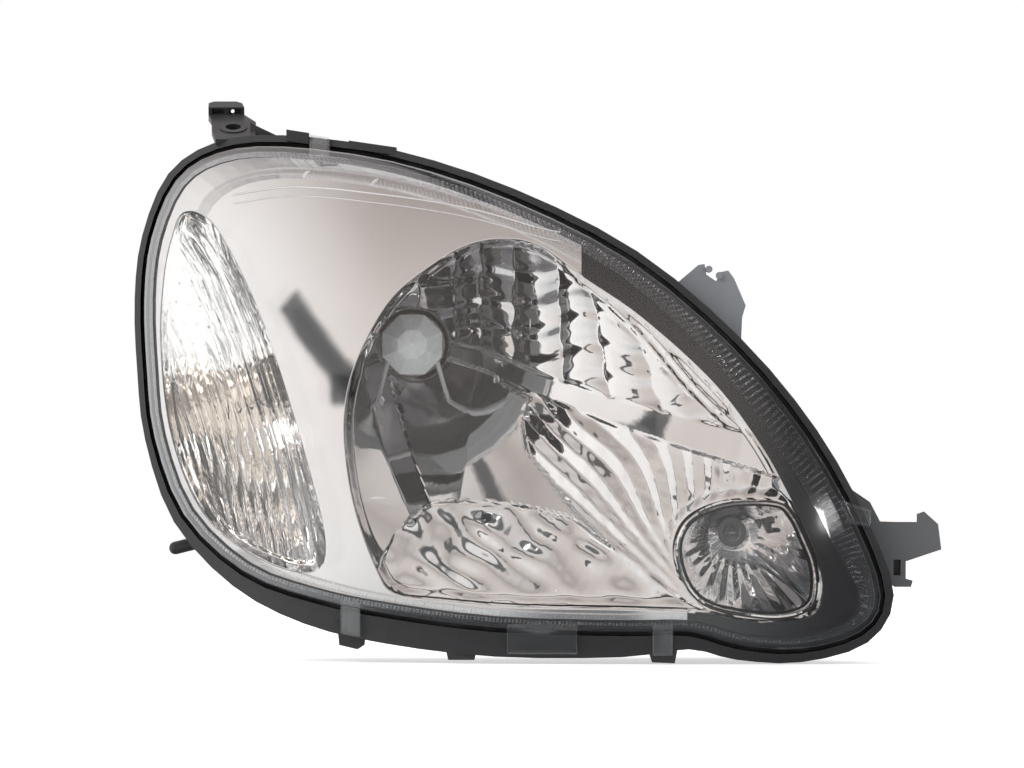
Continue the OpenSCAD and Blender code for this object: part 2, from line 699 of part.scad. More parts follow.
// Snap-in cup round a ball: closed at the front, its mouth narrower than the ball
module cup(p, ro) {
  difference() {
    bar(p[0], p[2], ball_y - 9, ball_y + 5.7, ro);
    bar(p[0], p[2], ball_y, ball_y + 6, ball_r - 0.3);
    ball(p, ball_r + ball_gap);
  }
}
module pivot_socket() { color(grey) cup(pivot, 8.1); }
module vertical_socket() {
  color(grey) {
    cup(ball_v, 8.1);
    bar(ball_v[0], ball_v[2], ball_y - 11.8, ball_y - 8.9, 8.1);
  }
}
module horizontal_socket() {
  color(grey) {
    cup(ball_h, 8.1);
    bar(ball_h[0], ball_h[2], ball_y - 11.8, ball_y - 8.9, 8.1);
  }
}
module horizontal_stud() {
  color(steel) {
    ball(ball_h, ball_r);
    bar(ball_h[0], ball_h[2], ball_y + 3, 62, 3);
    bar(ball_h[0], ball_h[2], 22, 62, 3.6);
  }
}
module horizontal_wheel() {
  color(grey) difference() {
    union() {
      bar(ball_h[0], ball_h[2], 46.4, 53, 13);
      for (a = [0 : 20 : 340]) translate([ball_h[0], 46.4, ball_h[2]]) rotate([0, a, 0])
        translate([12.6, 0, -1]) cube([1.6, 6.6, 2]);
      bar(ball_h[0], ball_h[2], 53, 57, 7);
    }
    bar(ball_h[0], ball_h[2], 40, 60, 3.9);
  }
}

module motor_case() {
  color(black) translate([ball_v[0], 0, ball_v[2]]) {
    difference() {
      union() {
        bar(0, 0, 48.6, 72, 23);
        bar(0, 0, 34, 49, 12.4);
        // plug shroud
        translate([-9, 52, -42]) cube([18, 14, 24]);
        for (a = [40, 160, 280]) rotate([0, a, 0]) translate([20, 48.6, -4]) cube([6, 5, 8]);
      }
      bar(0, 0, 51, 73, 20.8);
      bar(0, 0, 30, 60, 5.4);
      translate([-7, 54, -44]) cube([14, 10, 20]);
    }
  }
}
module motor_seal() { color(rubber) pipe(ball_v[0], ball_v[2], 46.1, 48.5, 21.5, 13.2); }
module motor_cover() {
  color(grey) translate([ball_v[0], 0, ball_v[2]]) {
    bar(0, 0, 72.1, 75, 23.5);
    pipe(0, 0, 66, 72.2, 20.6, 18.8);
    bar(0, 0, 75, 78, 9);
    for (a = [0 : 30 : 330]) rotate([0, a, 0]) translate([8.6, 75, -1]) cube([11, 1.2, 2]);
  }
}
module motor_plunger() {
  color(steel) {
    ball(ball_v, ball_r);
    bar(ball_v[0], ball_v[2], ball_y + 3, 62, 3);
    bar(ball_v[0], ball_v[2], 20, 62, 5);
  }
}
module motor_pins() {
  color(steel) translate([ball_v[0], 0, ball_v[2]])
    for (x = [-4, 0, 4]) translate([x - 0.4, 58.6, -35]) cube([0.8, 0.8, 11]);
}

// fixing hole through a bracket's side wall, across the view
module side_bore(p, turn) {
  translate([p[0], -86, p[1]]) rotate([0, turn, 0])
    cylinder(h = 12, r = bracket_hole_r, $fn = 48, center = true);
}

module upper_bracket() {
  color(grey) difference() {
    union() {
      deep(-108, -104) polygon([
        [148, 28], [148, 32], [164, 45.5], [167.5, 46], [168.5, 40], [174, 36.2], [177, 41.5],
        [181, 42.3], [184.4, 37.7], [191, 22.3], [189, 15.7], [188, -6], [180, -3]
      ]);
      deep(-104.1, -72) polygon([
        [184.4, 37.7], [191, 22.3], [189, 15.7], [185.3, 16], [187, 21.9], [180.72, 36.12]
      ]);
      deep(-104.1, -78) polygon([[162, 41.5], [164, 45.5], [167.5, 46], [167, 42]]);
      deep(-104.1, -92) polygon([[168, 30], [168, 33], [186, 31], [186, 28]]);
      bar(170, 43, -110, -98, 2);
      bar(176, 39.5, -110, -98, 2);
    }
    deep(-112, -99) polygon(inset(lens_loop, -0.5));
    side_bore([185.86, 29.21], 66.8);
    for (p = [[160, 25], [181, 4]]) bar(p[0], p[1], -112, -90, 2.5);
  }
}
module lower_bracket() {
  color(grey) difference() {
    union() {
      // strap against the housing, arm, hook and clip foot
      deep(-108, -100) polygon([
        [247, -87], [251, -82.5], [262, -90], [268, -101.5], [289, -101.5], [289, -97], [293, -95.5],
        [301, -102.7], [302.8, -117.2], [282.5, -124], [271, -128], [266, -132], [259, -130],
        [262, -119], [262, -107], [256, -101], [247, -99]
      ]);
      deep(-100.1, -70) polygon([
        [268, -101.5], [301, -102.7], [302.8, -117.2], [298.83, -117.69], [297.33, -105.6], [271, -104.4],
        [273, -120], [270, -120]
      ]);
      deep(-108, -92) polygon([
        [272, -121], [282.5, -121.8], [282.5, -134], [286.5, -135], [285.5, -138.6], [276, -138.6],
        [272, -135]
      ]);
    }
    deep(-112, -99) polygon(inset(lens_loop, -0.5));
    side_bore([299.93, -110.3], 82.92);
    translate([275.5, -110, -132]) cube([4, 12, 9]);
    for (p = [[254, -94], [266, -124]]) bar(p[0], p[1], -112, -90, 2.5);
  }
}
module bracket_screws() {
  color(steel) {
    for (p = [[160, 25], [181, 4]]) {
      bar(p[0], p[1], -107.5, -87.8, 2.4);
      bar(p[0], p[1], -87.9, -84.5, 4.5);
    }
    for (p = [[254, -94], [266, -124]]) {
      bar(p[0], p[1], -107.5, -83.8, 2.4);
      bar(p[0], p[1], -83.9, -80.5, 4.5);
    }
  }
}

module vent_elbow() {
  color(rubber) difference() {
    union() {
      pipe(175, -85, 40, 48.4, 5.9, 4);
      bar(175, -85, 48.2, 58, 8);
      translate([175, 54, -85]) rotate([0, 150, 0]) cylinder(h = 22, r = 4.5, $fn = 48);
    }
    bar(175, -85, 38, 54, 4);
    translate([175, 54, -85]) rotate([0, 150, 0]) cylinder(h = 24, r = 2.8, $fn = 48);
  }
}
module breather_cap() {
  color(rubber) difference() {
    union() {
      bar(150, -50, 50.2, 60, 8.5);
      bar(150, -50, 42, 50.3, 3.8);
    }
    bar(150, -50, 40, 57, 2.4);
    for (a = [0, 60, 120]) translate([150, 53, -50]) rotate([0, a, 0]) cube([20, 3, 1.6], center = true);
  }
}

at_frame() {
  housing();
  lens();
  lens_seal();
  chrome_bezel();
  black_bezel();
  bezel_screws();
  main_reflector();
  bulb_shield();
  shield_screws();
  h4_base();
  h4_glass();
  h4_filaments();
  h4_terminals();
  bulb_clip();
  clip_screws();
  dust_boot();
  park_reflector();
  park_socket();
  park_bulb();
  park_filament();
  turn_reflector();
  turn_lens();
  turn_gasket();
  turn_socket();
  turn_bulb_base();
  turn_bulb();
  turn_filament();
  pivot_stud();
  pivot_socket();
  vertical_socket();
  horizontal_socket();
  horizontal_stud();
  horizontal_wheel();
  motor_case();
  motor_cover();
  motor_seal();
  motor_plunger();
  motor_pins();
  upper_bracket();
  lower_bracket();
  bracket_screws();
  vent_elbow();
  breather_cap();
}
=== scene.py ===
import logging
import math
from dataclasses import dataclass, field
from enum import Enum
from typing import Callable, Optional, Sequence, Union

import bmesh
import bpy
import numpy as np
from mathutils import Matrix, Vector, geometry


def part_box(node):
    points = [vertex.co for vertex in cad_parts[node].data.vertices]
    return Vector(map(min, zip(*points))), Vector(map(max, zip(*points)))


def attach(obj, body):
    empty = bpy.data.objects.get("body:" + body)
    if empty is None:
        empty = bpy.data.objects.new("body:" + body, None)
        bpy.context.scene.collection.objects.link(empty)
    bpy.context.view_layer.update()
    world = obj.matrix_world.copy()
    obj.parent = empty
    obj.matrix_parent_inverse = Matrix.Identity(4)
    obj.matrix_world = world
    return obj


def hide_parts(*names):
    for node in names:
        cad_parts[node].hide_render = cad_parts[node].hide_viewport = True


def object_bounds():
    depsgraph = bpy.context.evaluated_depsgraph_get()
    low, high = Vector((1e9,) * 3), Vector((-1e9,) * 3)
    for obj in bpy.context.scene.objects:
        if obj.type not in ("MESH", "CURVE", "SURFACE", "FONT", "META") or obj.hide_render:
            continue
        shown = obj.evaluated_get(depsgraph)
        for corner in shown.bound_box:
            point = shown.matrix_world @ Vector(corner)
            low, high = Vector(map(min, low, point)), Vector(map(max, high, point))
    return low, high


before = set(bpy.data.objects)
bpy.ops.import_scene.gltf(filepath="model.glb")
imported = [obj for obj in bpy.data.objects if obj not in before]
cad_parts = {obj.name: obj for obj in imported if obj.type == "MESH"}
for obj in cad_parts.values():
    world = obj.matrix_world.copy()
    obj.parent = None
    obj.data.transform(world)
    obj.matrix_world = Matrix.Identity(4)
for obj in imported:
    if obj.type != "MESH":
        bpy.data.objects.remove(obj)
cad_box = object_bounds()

log = logging.getLogger("headlamp")

MM = 0.001
# The halogen bulb's glass starts this far in front of the bulb seat, where the lamp's own axes start
GLASS_AHEAD_OF_SEAT = 6.2
DOME_CENTRE = (150.0, 320.0, -90.0)
DOME_RADIUS = 480.0

Colour = tuple[float, float, float, float]
Depth = Callable[[np.ndarray], np.ndarray]
Test = Callable[[np.ndarray], np.ndarray]


def lamp_origin() -> np.ndarray:
    """Finds the bulb seat's centre in the frame, in metres.

    Returns:
        The origin of the lamp's own axes: X inboard, Y rearward, Z up.
    """
    low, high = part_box("h4_glass")
    seat = high[1] + GLASS_AHEAD_OF_SEAT * MM
    return np.array([(low[0] + high[0]) / 2, seat, (low[2] + high[2]) / 2])


ORIGIN = lamp_origin()


# ---------------------------------------------------------------- shapes


def dome(points: np.ndarray, depth: float) -> np.ndarray:
    """Gives Y on the lens's sphere, a depth inside its surface.

    Args:
        points: X and Z in lamp millimetres, one row a point.
        depth: how far inside the outer surface, in millimetres.

    Returns:
        Y of each point in lamp millimetres.
    """
    across = (points[:, 0] - DOME_CENTRE[0]) ** 2 + (points[:, 1] - DOME_CENTRE[2]) ** 2
    return DOME_CENTRE[1] - np.sqrt((DOME_RADIUS - depth) ** 2 - across)


def step_up(value: np.ndarray, width: float) -> np.ndarray:
    """Rises smoothly from 0 to 1 as the value goes from -width to width.

    Args:
        value: signed distances.
        width: half the width of the rise.

    Returns:
        The rise at each value.
    """
    t = np.clip(value / (2 * width) + 0.5, 0, 1)
    return t * t * (3 - 2 * t)


def wobble(points: np.ndarray, size: float, seed: int) -> np.ndarray:
    """Smooth random waves, the same in each run.

    Args:
        points: X and Z in lamp millimetres.
        size: typical wave length in millimetres.
        seed: which set of waves.

    Returns:
        A height between about -1 and 1 at each point.
    """
    draw = np.random.default_rng(seed)
    total = np.zeros(len(points))
    for _ in range(6):
        angle, phase = draw.uniform(0, math.tau, 2)
        length = size * draw.uniform(0.6, 1.5)
        along = points[:, 0] * math.cos(angle) + points[:, 1] * math.sin(angle)
        total += np.sin(math.tau * along / length + phase)
    return total / 3.4


@dataclass(frozen=True)
class Outline:
    """A closed outline in X and Z, clockwise as seen from the lens side, in lamp millimetres."""

    points: np.ndarray

    def smooth(self, steps: int) -> "Outline":
        """Draws a smooth curve through the points.

        Args:
            steps: points on the curve for each given point.

        Returns:
            The finer outline.
        """
        a, b = np.roll(self.points, 1, axis=0), self.points
        c, d = np.roll(self.points, -1, axis=0), np.roll(self.points, -2, axis=0)
        rows = []
        for t in np.arange(steps) / steps:
            rows.append(0.5 * (2 * b + (c - a) * t + (2 * a - 5 * b + 4 * c - d) * t**2
                               + (3 * b - a - 3 * c + d) * t**3))
        return Outline(np.stack(rows, axis=1).reshape(-1, 2))

    def inset(self, distance: Union[float, np.ndarray]) -> "Outline":
        """Moves the outline inwards.

        Args:
            distance: how far, one number or one for each point; negative moves it outwards.

        Returns:
            The moved outline.
        """
        tangent = np.roll(self.points, -1, axis=0) - np.roll(self.points, 1, axis=0)
        tangent /= np.linalg.norm(tangent, axis=1)[:, None]
        inward = np.stack([tangent[:, 1], -tangent[:, 0]], axis=1)
        return Outline(self.points + inward * np.broadcast_to(distance, len(self.points))[:, None])

    def lengths(self) -> np.ndarray:
        """Distance along the outline at each point, with the whole length added at the end."""
        gaps = np.linalg.norm(np.roll(self.points, -1, axis=0) - self.points, axis=1)
        return np.concatenate([[0.0], np.cumsum(gaps)])

    def even(self, count: int) -> "Outline":
        """Places a number of points evenly along the outline.

        Args:
            count: how many points.

        Returns:
            The even outline.
        """
        at = self.lengths()
        shut = np.vstack([self.points, self.points[:1]])
        wanted = np.arange(count) * at[-1] / count
        return Outline(np.stack([np.interp(wanted, at, shut[:, k]) for k in (0, 1)], axis=1))

    def holds(self, points: np.ndarray) -> np.ndarray:
        """Tests which points lie inside.

        Args:
            points: X and Z, one row a point.

        Returns:
            True for each point inside.
        """
        inside = np.zeros(len(points), bool)
        for a, b in zip(self.points, np.roll(self.points, -1, axis=0)):
            if a[1] == b[1]:
                continue
            spans = (a[1] > points[:, 1]) != (b[1] > points[:, 1])
            crossing = a[0] + (points[:, 1] - a[1]) * (b[0] - a[0]) / (b[1] - a[1])
            inside ^= spans & (points[:, 0] < crossing)
        return inside

    def gap(self, points: np.ndarray) -> np.ndarray:
        """Distance from each point to the outline.

        Args:
            points: X and Z, one row a point.

        Returns:
            The distances in millimetres.
        """
        return line_gap(points, np.vstack([self.points, self.points[:1]]))


def line_gap(points: np.ndarray, line: np.ndarray) -> np.ndarray:
    """Distance from each point to a line of several straight pieces.

    Args:
        points: X and Z, one row a point.
        line: the line's own points.

    Returns:
        The distances in millimetres.
    """
    nearest = np.full(len(points), np.inf)
    for a, b in zip(line[:-1], line[1:]):
        run = b - a
        t = np.clip((points - a) @ run / max(run @ run, 1e-9), 0, 1)
        nearest = np.minimum(nearest, np.linalg.norm(points - a - t[:, None] * run, axis=1))
    return nearest


def above(points: np.ndarray, line: Sequence[tuple[float, float]]) -> np.ndarray:
    """Height of each point above a line that runs from left to right.

    Args:
        points: X and Z, one row a point.
        line: X and Z of the line's points, with X rising.

    Returns:
        Z of the point less Z of the line there.
    """
    guide = np.array(line)
    return points[:, 1] - np.interp(points[:, 0], guide[:, 0], guide[:, 1])


def right_of(points: np.ndarray, line: Sequence[tuple[float, float]]) -> np.ndarray:
    """How far each point lies to the right of a line that runs from top to bottom.

    Args:
        points: X and Z, one row a point.
        line: X and Z of the line's points, with Z falling.

    Returns:
        X of the point less X of the line there.
    """
    guide = np.array(line)[::-1]
    return points[:, 0] - np.interp(points[:, 1], guide[:, 1], guide[:, 0])


class Shape:
    """Vertices and faces in lamp millimetres that become one Blender piece."""

    def __init__(self) -> None:
        """Starts with nothing."""
        self.parts: list[np.ndarray] = []
        self.faces: list[tuple[int, ...]] = []
        self.count = 0

    def add(self, vertices: np.ndarray, faces: Sequence[tuple[int, ...]]) -> "Shape":
        """Adds one closed form.

        Args:
            vertices: X, Y and Z, one row a vertex.
            faces: indices into those vertices.

        Returns:
            The shape itself.
        """
        self.faces += [tuple(int(i) + self.count for i in face) for face in faces]
        self.parts.append(np.asarray(vertices, float))
        self.count += len(vertices)
        return self

    def slab(self, outlines: Sequence[Outline], keep: Test, step: float, front: Depth, back: Depth,
             cuts: Sequence[np.ndarray] = ()) -> "Shape":
        """Adds a plate with a fine front and back, cut to outlines.

        Args:
            outlines: the edges that the plate's own edges follow.
            keep: says which points belong to the plate.
            step: spacing of its points in millimetres.
            front: Y of the front at each X and Z.
            back: Y of the back at each X and Z.
            cuts: more lines that its edges may follow.

        Returns:
            The shape itself.
        """
        lines = [np.vstack([o.points, o.points[:1]]) for o in outlines] + list(cuts)
        corners = np.vstack([line[:-1] if shut < len(outlines) else line
                             for shut, line in enumerate(lines)])
        edges, start = [], 0
        for number, line in enumerate(lines):
            size = len(line) - 1 if number < len(outlines) else len(line)
            edges += [(start + i, start + (i + 1) % size) for i in range(len(line) - 1)]
            start += size
        low, high = corners.min(axis=0), corners.max(axis=0)
        xs, zs = np.arange(low[0], high[0], step), np.arange(low[1], high[1], step)
        grid = np.stack(np.meshgrid(xs, zs), axis=-1)
        grid[1::2, :, 0] += step / 2
        grid = grid.reshape(-1, 2)
        grid = grid[keep(grid)]
        near = np.full(len(grid), np.inf)
        for line in lines:
            near = np.minimum(near, line_gap(grid, line))
        every = np.vstack([corners, grid[near > 0.45 * step]])
        flat, _, found, *_ = geometry.delaunay_2d_cdt([Vector(p) for p in every], edges, [], 0, 1e-7)
        flat = np.array([tuple(p) for p in flat])
        found = np.array(found)
        found = found[keep(flat[found].mean(axis=1))]
        used, found = np.unique(found, return_inverse=True)
        found, flat = found.reshape(-1, 3), flat[used]
        n = len(flat)
        sides: dict[tuple[int, int], int] = {}
        for a, b, c in found.tolist():
            for edge in ((a, b), (b, c), (c, a)):
                if (edge[1], edge[0]) in sides:
                    del sides[(edge[1], edge[0])]
                else:
                    sides[edge] = 1
        vertices = np.vstack([np.stack([flat[:, 0], y(flat), flat[:, 1]], axis=1)
                              for y in (front, back)])
        faces = [tuple(f) for f in found.tolist()]
        faces += [(c + n, b + n, a + n) for a, b, c in found.tolist()]
        faces += [(b, a, a + n, b + n) for a, b in sides]
        return self.add(vertices, faces)

    def loft(self, rings: Sequence[np.ndarray], round_shut: bool = True,
             tube_shut: bool = True) -> "Shape":
        """Adds a surface through rings of equal length.

        Args:
            rings: X, Y and Z of each ring's points.
            round_shut: whether each ring closes on itself.
            tube_shut: whether the last ring joins the first; otherwise ends are capped.

        Returns:
            The shape itself.
        """
        n, m = len(rings[0]), len(rings)
        around = n if round_shut else n - 1
        last = m if tube_shut else m - 1
        faces = [(k * n + i, k * n + (i + 1) % n, ((k + 1) % m) * n + (i + 1) % n, ((k + 1) % m) * n + i)
                 for k in range(last) for i in range(around)]
        if round_shut and not tube_shut:
            faces += [tuple(range(n))[::-1], tuple(range((m - 1) * n, m * n))]
        if tube_shut and not round_shut:
            faces += [tuple(k * n for k in range(m)), tuple(k * n + n - 1 for k in range(m))[::-1]]
        return self.add(np.vstack(rings), faces)

    def tube(self, path: np.ndarray, radius: float, sides: int = 12) -> "Shape":
        """Adds a round rod along a path.

        Args:
            path: X, Y and Z of its centre line.
            radius: of the rod, in millimetres.
            sides: how many flats it has round it.

        Returns:
            The shape itself.
        """
        tangent = np.gradient(path, axis=0)
        tangent /= np.linalg.norm(tangent, axis=1)[:, None]
        side = np.cross(tangent[0], (0.31, 0.87, 0.39))
        rings = []
        for centre, way in zip(path, tangent):
            side = side - way * (side @ way)
            side /= np.linalg.norm(side)
            other = np.cross(way, side)
            turn = np.arange(sides) * math.tau / sides
            rings.append(centre + radius * (np.outer(np.cos(turn), side)
                                            + np.outer(np.sin(turn), other)))
        return self.loft(rings, tube_shut=False)

    def build(self, name: str, sharp: float = 32.0) -> bpy.types.Object:
        """Makes the Blender piece, its normals outwards and its hard edges kept.

        Args:
            name: of the piece.
            sharp: edges turned by more than this many degrees stay hard.

        Returns:
            The new object, at the frame's origin.
        """
        mesh = bpy.data.meshes.new(name)
        mesh.from_pydata((np.vstack(self.parts) * MM + ORIGIN).tolist(), [], self.faces)
        shape = bmesh.new()
        shape.from_mesh(mesh)
        bmesh.ops.recalc_face_normals(shape, faces=shape.faces)
        shape.to_mesh(mesh)
        shape.free()
        mesh.shade_smooth()
        mesh.set_sharp_from_angle(angle=math.radians(sharp))
        piece = bpy.data.objects.new(name, mesh)
        bpy.context.scene.collection.objects.link(piece)
        return piece


# ---------------------------------------------------------------- shaders


class Signal:
    """One output of a shader node; arithmetic on it adds Math nodes."""

    def __init__(self, shader: "Shader", socket: Optional[bpy.types.NodeSocket]) -> None:
        """Keeps the shader and the socket."""
        self.shader = shader
        self.socket = socket

    def _math(self, operation: str, first: "Number", second: "Number") -> "Signal":
        """Adds one Math node and returns its value."""
        return self.shader.node("ShaderNodeMath", {"operation": operation}, {0: first, 1: second})

    def __add__(self, other: "Number") -> "Signal":
        """self + other"""
        return self._math("ADD", self, other)

    __radd__ = __add__

    def __sub__(self, other: "Number") -> "Signal":
        """self - other"""
        return self._math("SUBTRACT", self, other)

    def __rsub__(self, other: "Number") -> "Signal":
        """other - self"""
        return self._math("SUBTRACT", other, self)

    def __mul__(self, other: "Number") -> "Signal":
        """self * other"""
        return self._math("MULTIPLY", self, other)

    __rmul__ = __mul__

    def __truediv__(self, other: "Number") -> "Signal":
        """self / other"""
        return self._math("DIVIDE", self, other)

    def __pow__(self, other: "Number") -> "Signal":
        """self ** other"""
        return self._math("POWER", self, other)


Number = Union[float, Signal]


class Shader:
    """Adds nodes to one node tree."""

    def __init__(self, tree: bpy.types.NodeTree) -> None:
        """Starts on an emptied tree."""
        self.tree = tree
        tree.nodes.clear()

    def node(self, kind: str, settings: dict[str, object], sockets: dict[Union[str, int], object],
             output: Union[int, str] = 0) -> Signal:
        """Adds a node: first its settings, then the values or links of its sockets.

        Args:
            kind: the node's type.
            settings: its own properties, with a ramp's stops under "stops".
            sockets: a value or a Signal for each named or numbered input.
            output: which output to return.

        Returns:
            That output, or a Signal on nothing where the node has none.
        """
        node = self.tree.nodes.new(kind)
        for key, value in settings.items():
            if key != "stops":
                setattr(node, key, value)
                continue
            stops = node.color_ramp.elements
            while len(stops) < len(value):
                stops.new(0.5)
            for stop, (place, colour) in zip(stops, value):
                stop.position = place
                stop.color = colour
        for key, value in sockets.items():
            if isinstance(value, Signal):
                self.tree.links.new(value.socket, node.inputs[key])
            else:
                node.inputs[key].default_value = value
        return Signal(self, node.outputs[output] if len(node.outputs) else None)

    def place(self) -> Signal:
        """The point on the object, in metres."""
        return self.node("ShaderNodeTexCoord", {}, {}, "Object")

    def stretched(self, stretch: tuple[float, float, float]) -> Signal:
        """The point on the object, stretched along the axes."""
        return self.node("ShaderNodeMapping", {}, {"Vector": self.place(), "Scale": stretch})

    def noise(self, at: Signal, scale: float, detail: float = 2.0) -> Signal:
        """Smooth noise from 0 to 1 at a scale in waves per metre."""
        return self.node("ShaderNodeTexNoise", {}, {"Vector": at, "Scale": scale, "Detail": detail})

    def mix(self, factor: Number, first: Union[Colour, Signal],
            second: Union[Colour, Signal]) -> Signal:
        """Mixes two colours."""
        return self.node("ShaderNodeMix", {"data_type": "RGBA"}, {0: factor, 6: first, 7: second}, 2)

    def between(self, value: Signal, low: float, high: float) -> Signal:
        """Rises smoothly from 0 at low to 1 at high."""
        return self.node("ShaderNodeMapRange", {"interpolation_type": "SMOOTHSTEP"},
                         {"Value": value, "From Min": low, "From Max": high})

    def bump(self, height: Signal, strength: float, distance: float) -> Signal:
        """Turns a height into a normal; the distance is in metres."""
        return self.node("ShaderNodeBump", {}, {"Height": height, "Strength": strength,
                                                "Distance": distance})

    def principled(self, sockets: dict[Union[str, int], object]) -> Signal:
        """A Principled surface with these sockets set."""
        return self.node("ShaderNodeBsdfPrincipled", {}, sockets)


def shade(colour: Colour, factor: float) -> Colour:
    """Darkens or lightens a colour."""
    return tuple(min(1.0, c * factor) for c in colour[:3]) + (1.0,)


@dataclass(frozen=True)
class Finish:
    """What all finishes share: a name, and a material made once."""

    name: str

    def material(self) -> bpy.types.Material:
        """Makes the material, or finds it if it is already made.

        Returns:
            The material.
        """
        title = f"{self.name}_finish"
        made = bpy.data.materials.get(title)
        if made:
            return made
        made = bpy.data.materials.new(title)
        made.use_nodes = True
        shader = Shader(made.node_tree)
        shader.node("ShaderNodeOutputMaterial", {}, {"Surface": self.surface(shader)})
        return made

    def surface(self, shader: Shader) -> Signal:
        """Builds the surface; each kind of finish has its own."""
        raise NotImplementedError(self.name)


@dataclass(frozen=True)
class MouldedPlastic(Finish):
    """Injection-moulded plastic: fine grain, faint flow marks and settled dust."""

    colour: Colour
    roughness: float = 0.4
    grain: float = 1400.0
    grain_height: float = 0.00003
    dust: float = 0.1

    def surface(self, shader: Shader) -> Signal:
        """Builds the plastic.

        Args:
            shader: where its nodes go.

        Returns:
            The surface.
        """
        at = shader.place()
        flow = shader.noise(shader.stretched((9.0, 30.0, 14.0)), 1.0, 3.0)
        grain = shader.noise(at, self.grain, 2.0)
        upward = shader.node("ShaderNodeSeparateXYZ", {},
                             {0: shader.node("ShaderNodeNewGeometry", {}, {}, "Normal")}, 2)
        dust = shader.between(upward, 0.2, 1.0) * shader.noise(at, 70.0, 4.0) * self.dust
        tone = shader.mix(flow, shade(self.colour, 0.78), shade(self.colour, 1.25))
        tone = shader.mix(dust, tone, (0.55, 0.54, 0.52, 1.0))
        rough = self.roughness + (grain - 0.5) * 0.12 + dust * 0.6 + (flow - 0.5) * 0.1
        return shader.principled({
            "Base Color": tone, "Roughness": rough, "IOR": 1.5,
            "Normal": shader.bump(grain + flow * 0.5, 0.6, self.grain_height),
        })


@dataclass(frozen=True)
class Aluminised(Finish):
    """Vacuum-coated mirror plastic: slow waves of the moulding under a bright skin."""

    colour: Colour = (0.93, 0.92, 0.915, 1.0)
    roughness: float = 0.025
    wave: float = 45.0
    wave_height: float = 0.00006

    def surface(self, shader: Shader) -> Signal:
        """Builds the mirror.

        Args:
            shader: where its nodes go.

        Returns:
            The surface.
        """
        at = shader.place()
        wave = shader.noise(at, self.wave, 2.0)
        haze = shader.noise(at, 16.0, 4.0)
        speck = shader.noise(at, 900.0, 1.0)
        tone = shader.mix(haze, self.colour, shade(self.colour, 0.94))
        rough = self.roughness + haze * 0.02 + shader.between(speck, 0.68, 0.8) * 0.08
        return shader.principled({
            "Base Color": tone, "Metallic": 1.0, "Roughness": rough,
            "Normal": shader.bump(wave, 1.0, self.wave_height),
        })


@dataclass(frozen=True)
class BareMetal(Finish):
    """Plated or drawn metal: brushed marks, spangle and a little tarnish."""

    colour: Colour
    roughness: float = 0.28
    brush: tuple[float, float, float] = (300.0, 2500.0, 300.0)
    spangle: float = 260.0

    def surface(self, shader: Shader) -> Signal:
        """Builds the metal.

        Args:
            shader: where its nodes go.

        Returns:
            The surface.
        """
        at = shader.place()
        brushed = shader.noise(shader.stretched(self.brush), 1.0, 2.0)
        cells = shader.node("ShaderNodeTexVoronoi", {}, {"Vector": at, "Scale": self.spangle}, "Distance")
        stain = shader.between(shader.noise(at, 60.0, 5.0), 0.45, 0.7)
        tone = shader.mix(cells, self.colour, shade(self.colour, 0.8))
        tone = shader.mix(stain * 0.35, tone, shade(self.colour, 0.55))
        return shader.principled({
            "Base Color": tone, "Metallic": 1.0,
            "Roughness": self.roughness + (brushed - 0.5) * 0.2 + stain * 0.12,
            "Normal": shader.bump(brushed + cells * 0.4, 0.4, 0.00004),
        })


@dataclass(frozen=True)
class ThinClear(Finish):
    """Clear moulded plastic or bulb glass: seen through, with glints at glancing angles."""

    colour: Colour = (1.0, 1.0, 1.0, 1.0)
    haze: float = 0.0
    roughness: float = 0.02
    metallic: float = 1.0
    edge: float = 5.0

    def surface(self, shader: Shader) -> Signal:
        """Builds the clear skin: the more it is seen from the side, the more it reflects.

        Args:
            shader: where its nodes go.

        Returns:
            The surface.
        """
        at = shader.place()
        facing = shader.node("ShaderNodeLayerWeight", {}, {"Blend": 0.5}, "Facing")
        film = shader.noise(at, 30.0, 3.0)
        alpha = 0.04 + self.haze + (0.96 - self.haze) * facing ** self.edge + film * self.haze * 0.5
        return shader.principled({
            "Base Color": self.colour, "Metallic": self.metallic,
            "Roughness": self.roughness + film * 0.02, "Alpha": alpha, "IOR": 1.5,
            "Normal": shader.bump(shader.noise(at, 80.0, 1.0), 1.0, 0.00001),
        })


@dataclass(frozen=True)
class SolidClear(Finish):
    """Clear plastic thick enough to bend the light, for the fluted inner lens."""

    colour: Colour = (0.97, 0.98, 0.98, 1.0)

    def surface(self, shader: Shader) -> Signal:
        """Builds the clear solid.

        Args:
            shader: where its nodes go.

        Returns:
            The surface.
        """
        at = shader.place()
        return shader.principled({
            "Base Color": self.colour, "Roughness": 0.004 + shader.noise(at, 50.0) * 0.01,
            "IOR": 1.49, "Transmission Weight": 1.0,
            "Normal": shader.bump(shader.noise(at, 90.0, 1.0), 1.0, 0.00002),
        })


@dataclass(frozen=True)
class SoftRubber(Finish):
    """Black rubber: matt, chalky bloom, pitted."""

    colour: Colour = (0.022, 0.022, 0.023, 1.0)

    def surface(self, shader: Shader) -> Signal:
        """Builds the rubber.

        Args:
            shader: where its nodes go.

        Returns:
            The surface.
        """
        at = shader.place()
        bloom = shader.between(shader.noise(at, 45.0, 5.0), 0.45, 0.75)
        pits = shader.node("ShaderNodeTexVoronoi", {}, {"Vector": at, "Scale": 900.0}, "Distance")
        tone = shader.mix(bloom * 0.35, self.colour, (0.12, 0.12, 0.12, 1.0))
        return shader.principled({
            "Base Color": tone, "Roughness": 0.62 + bloom * 0.2,
            "Normal": shader.bump(pits, 0.5, 0.00006),
        })


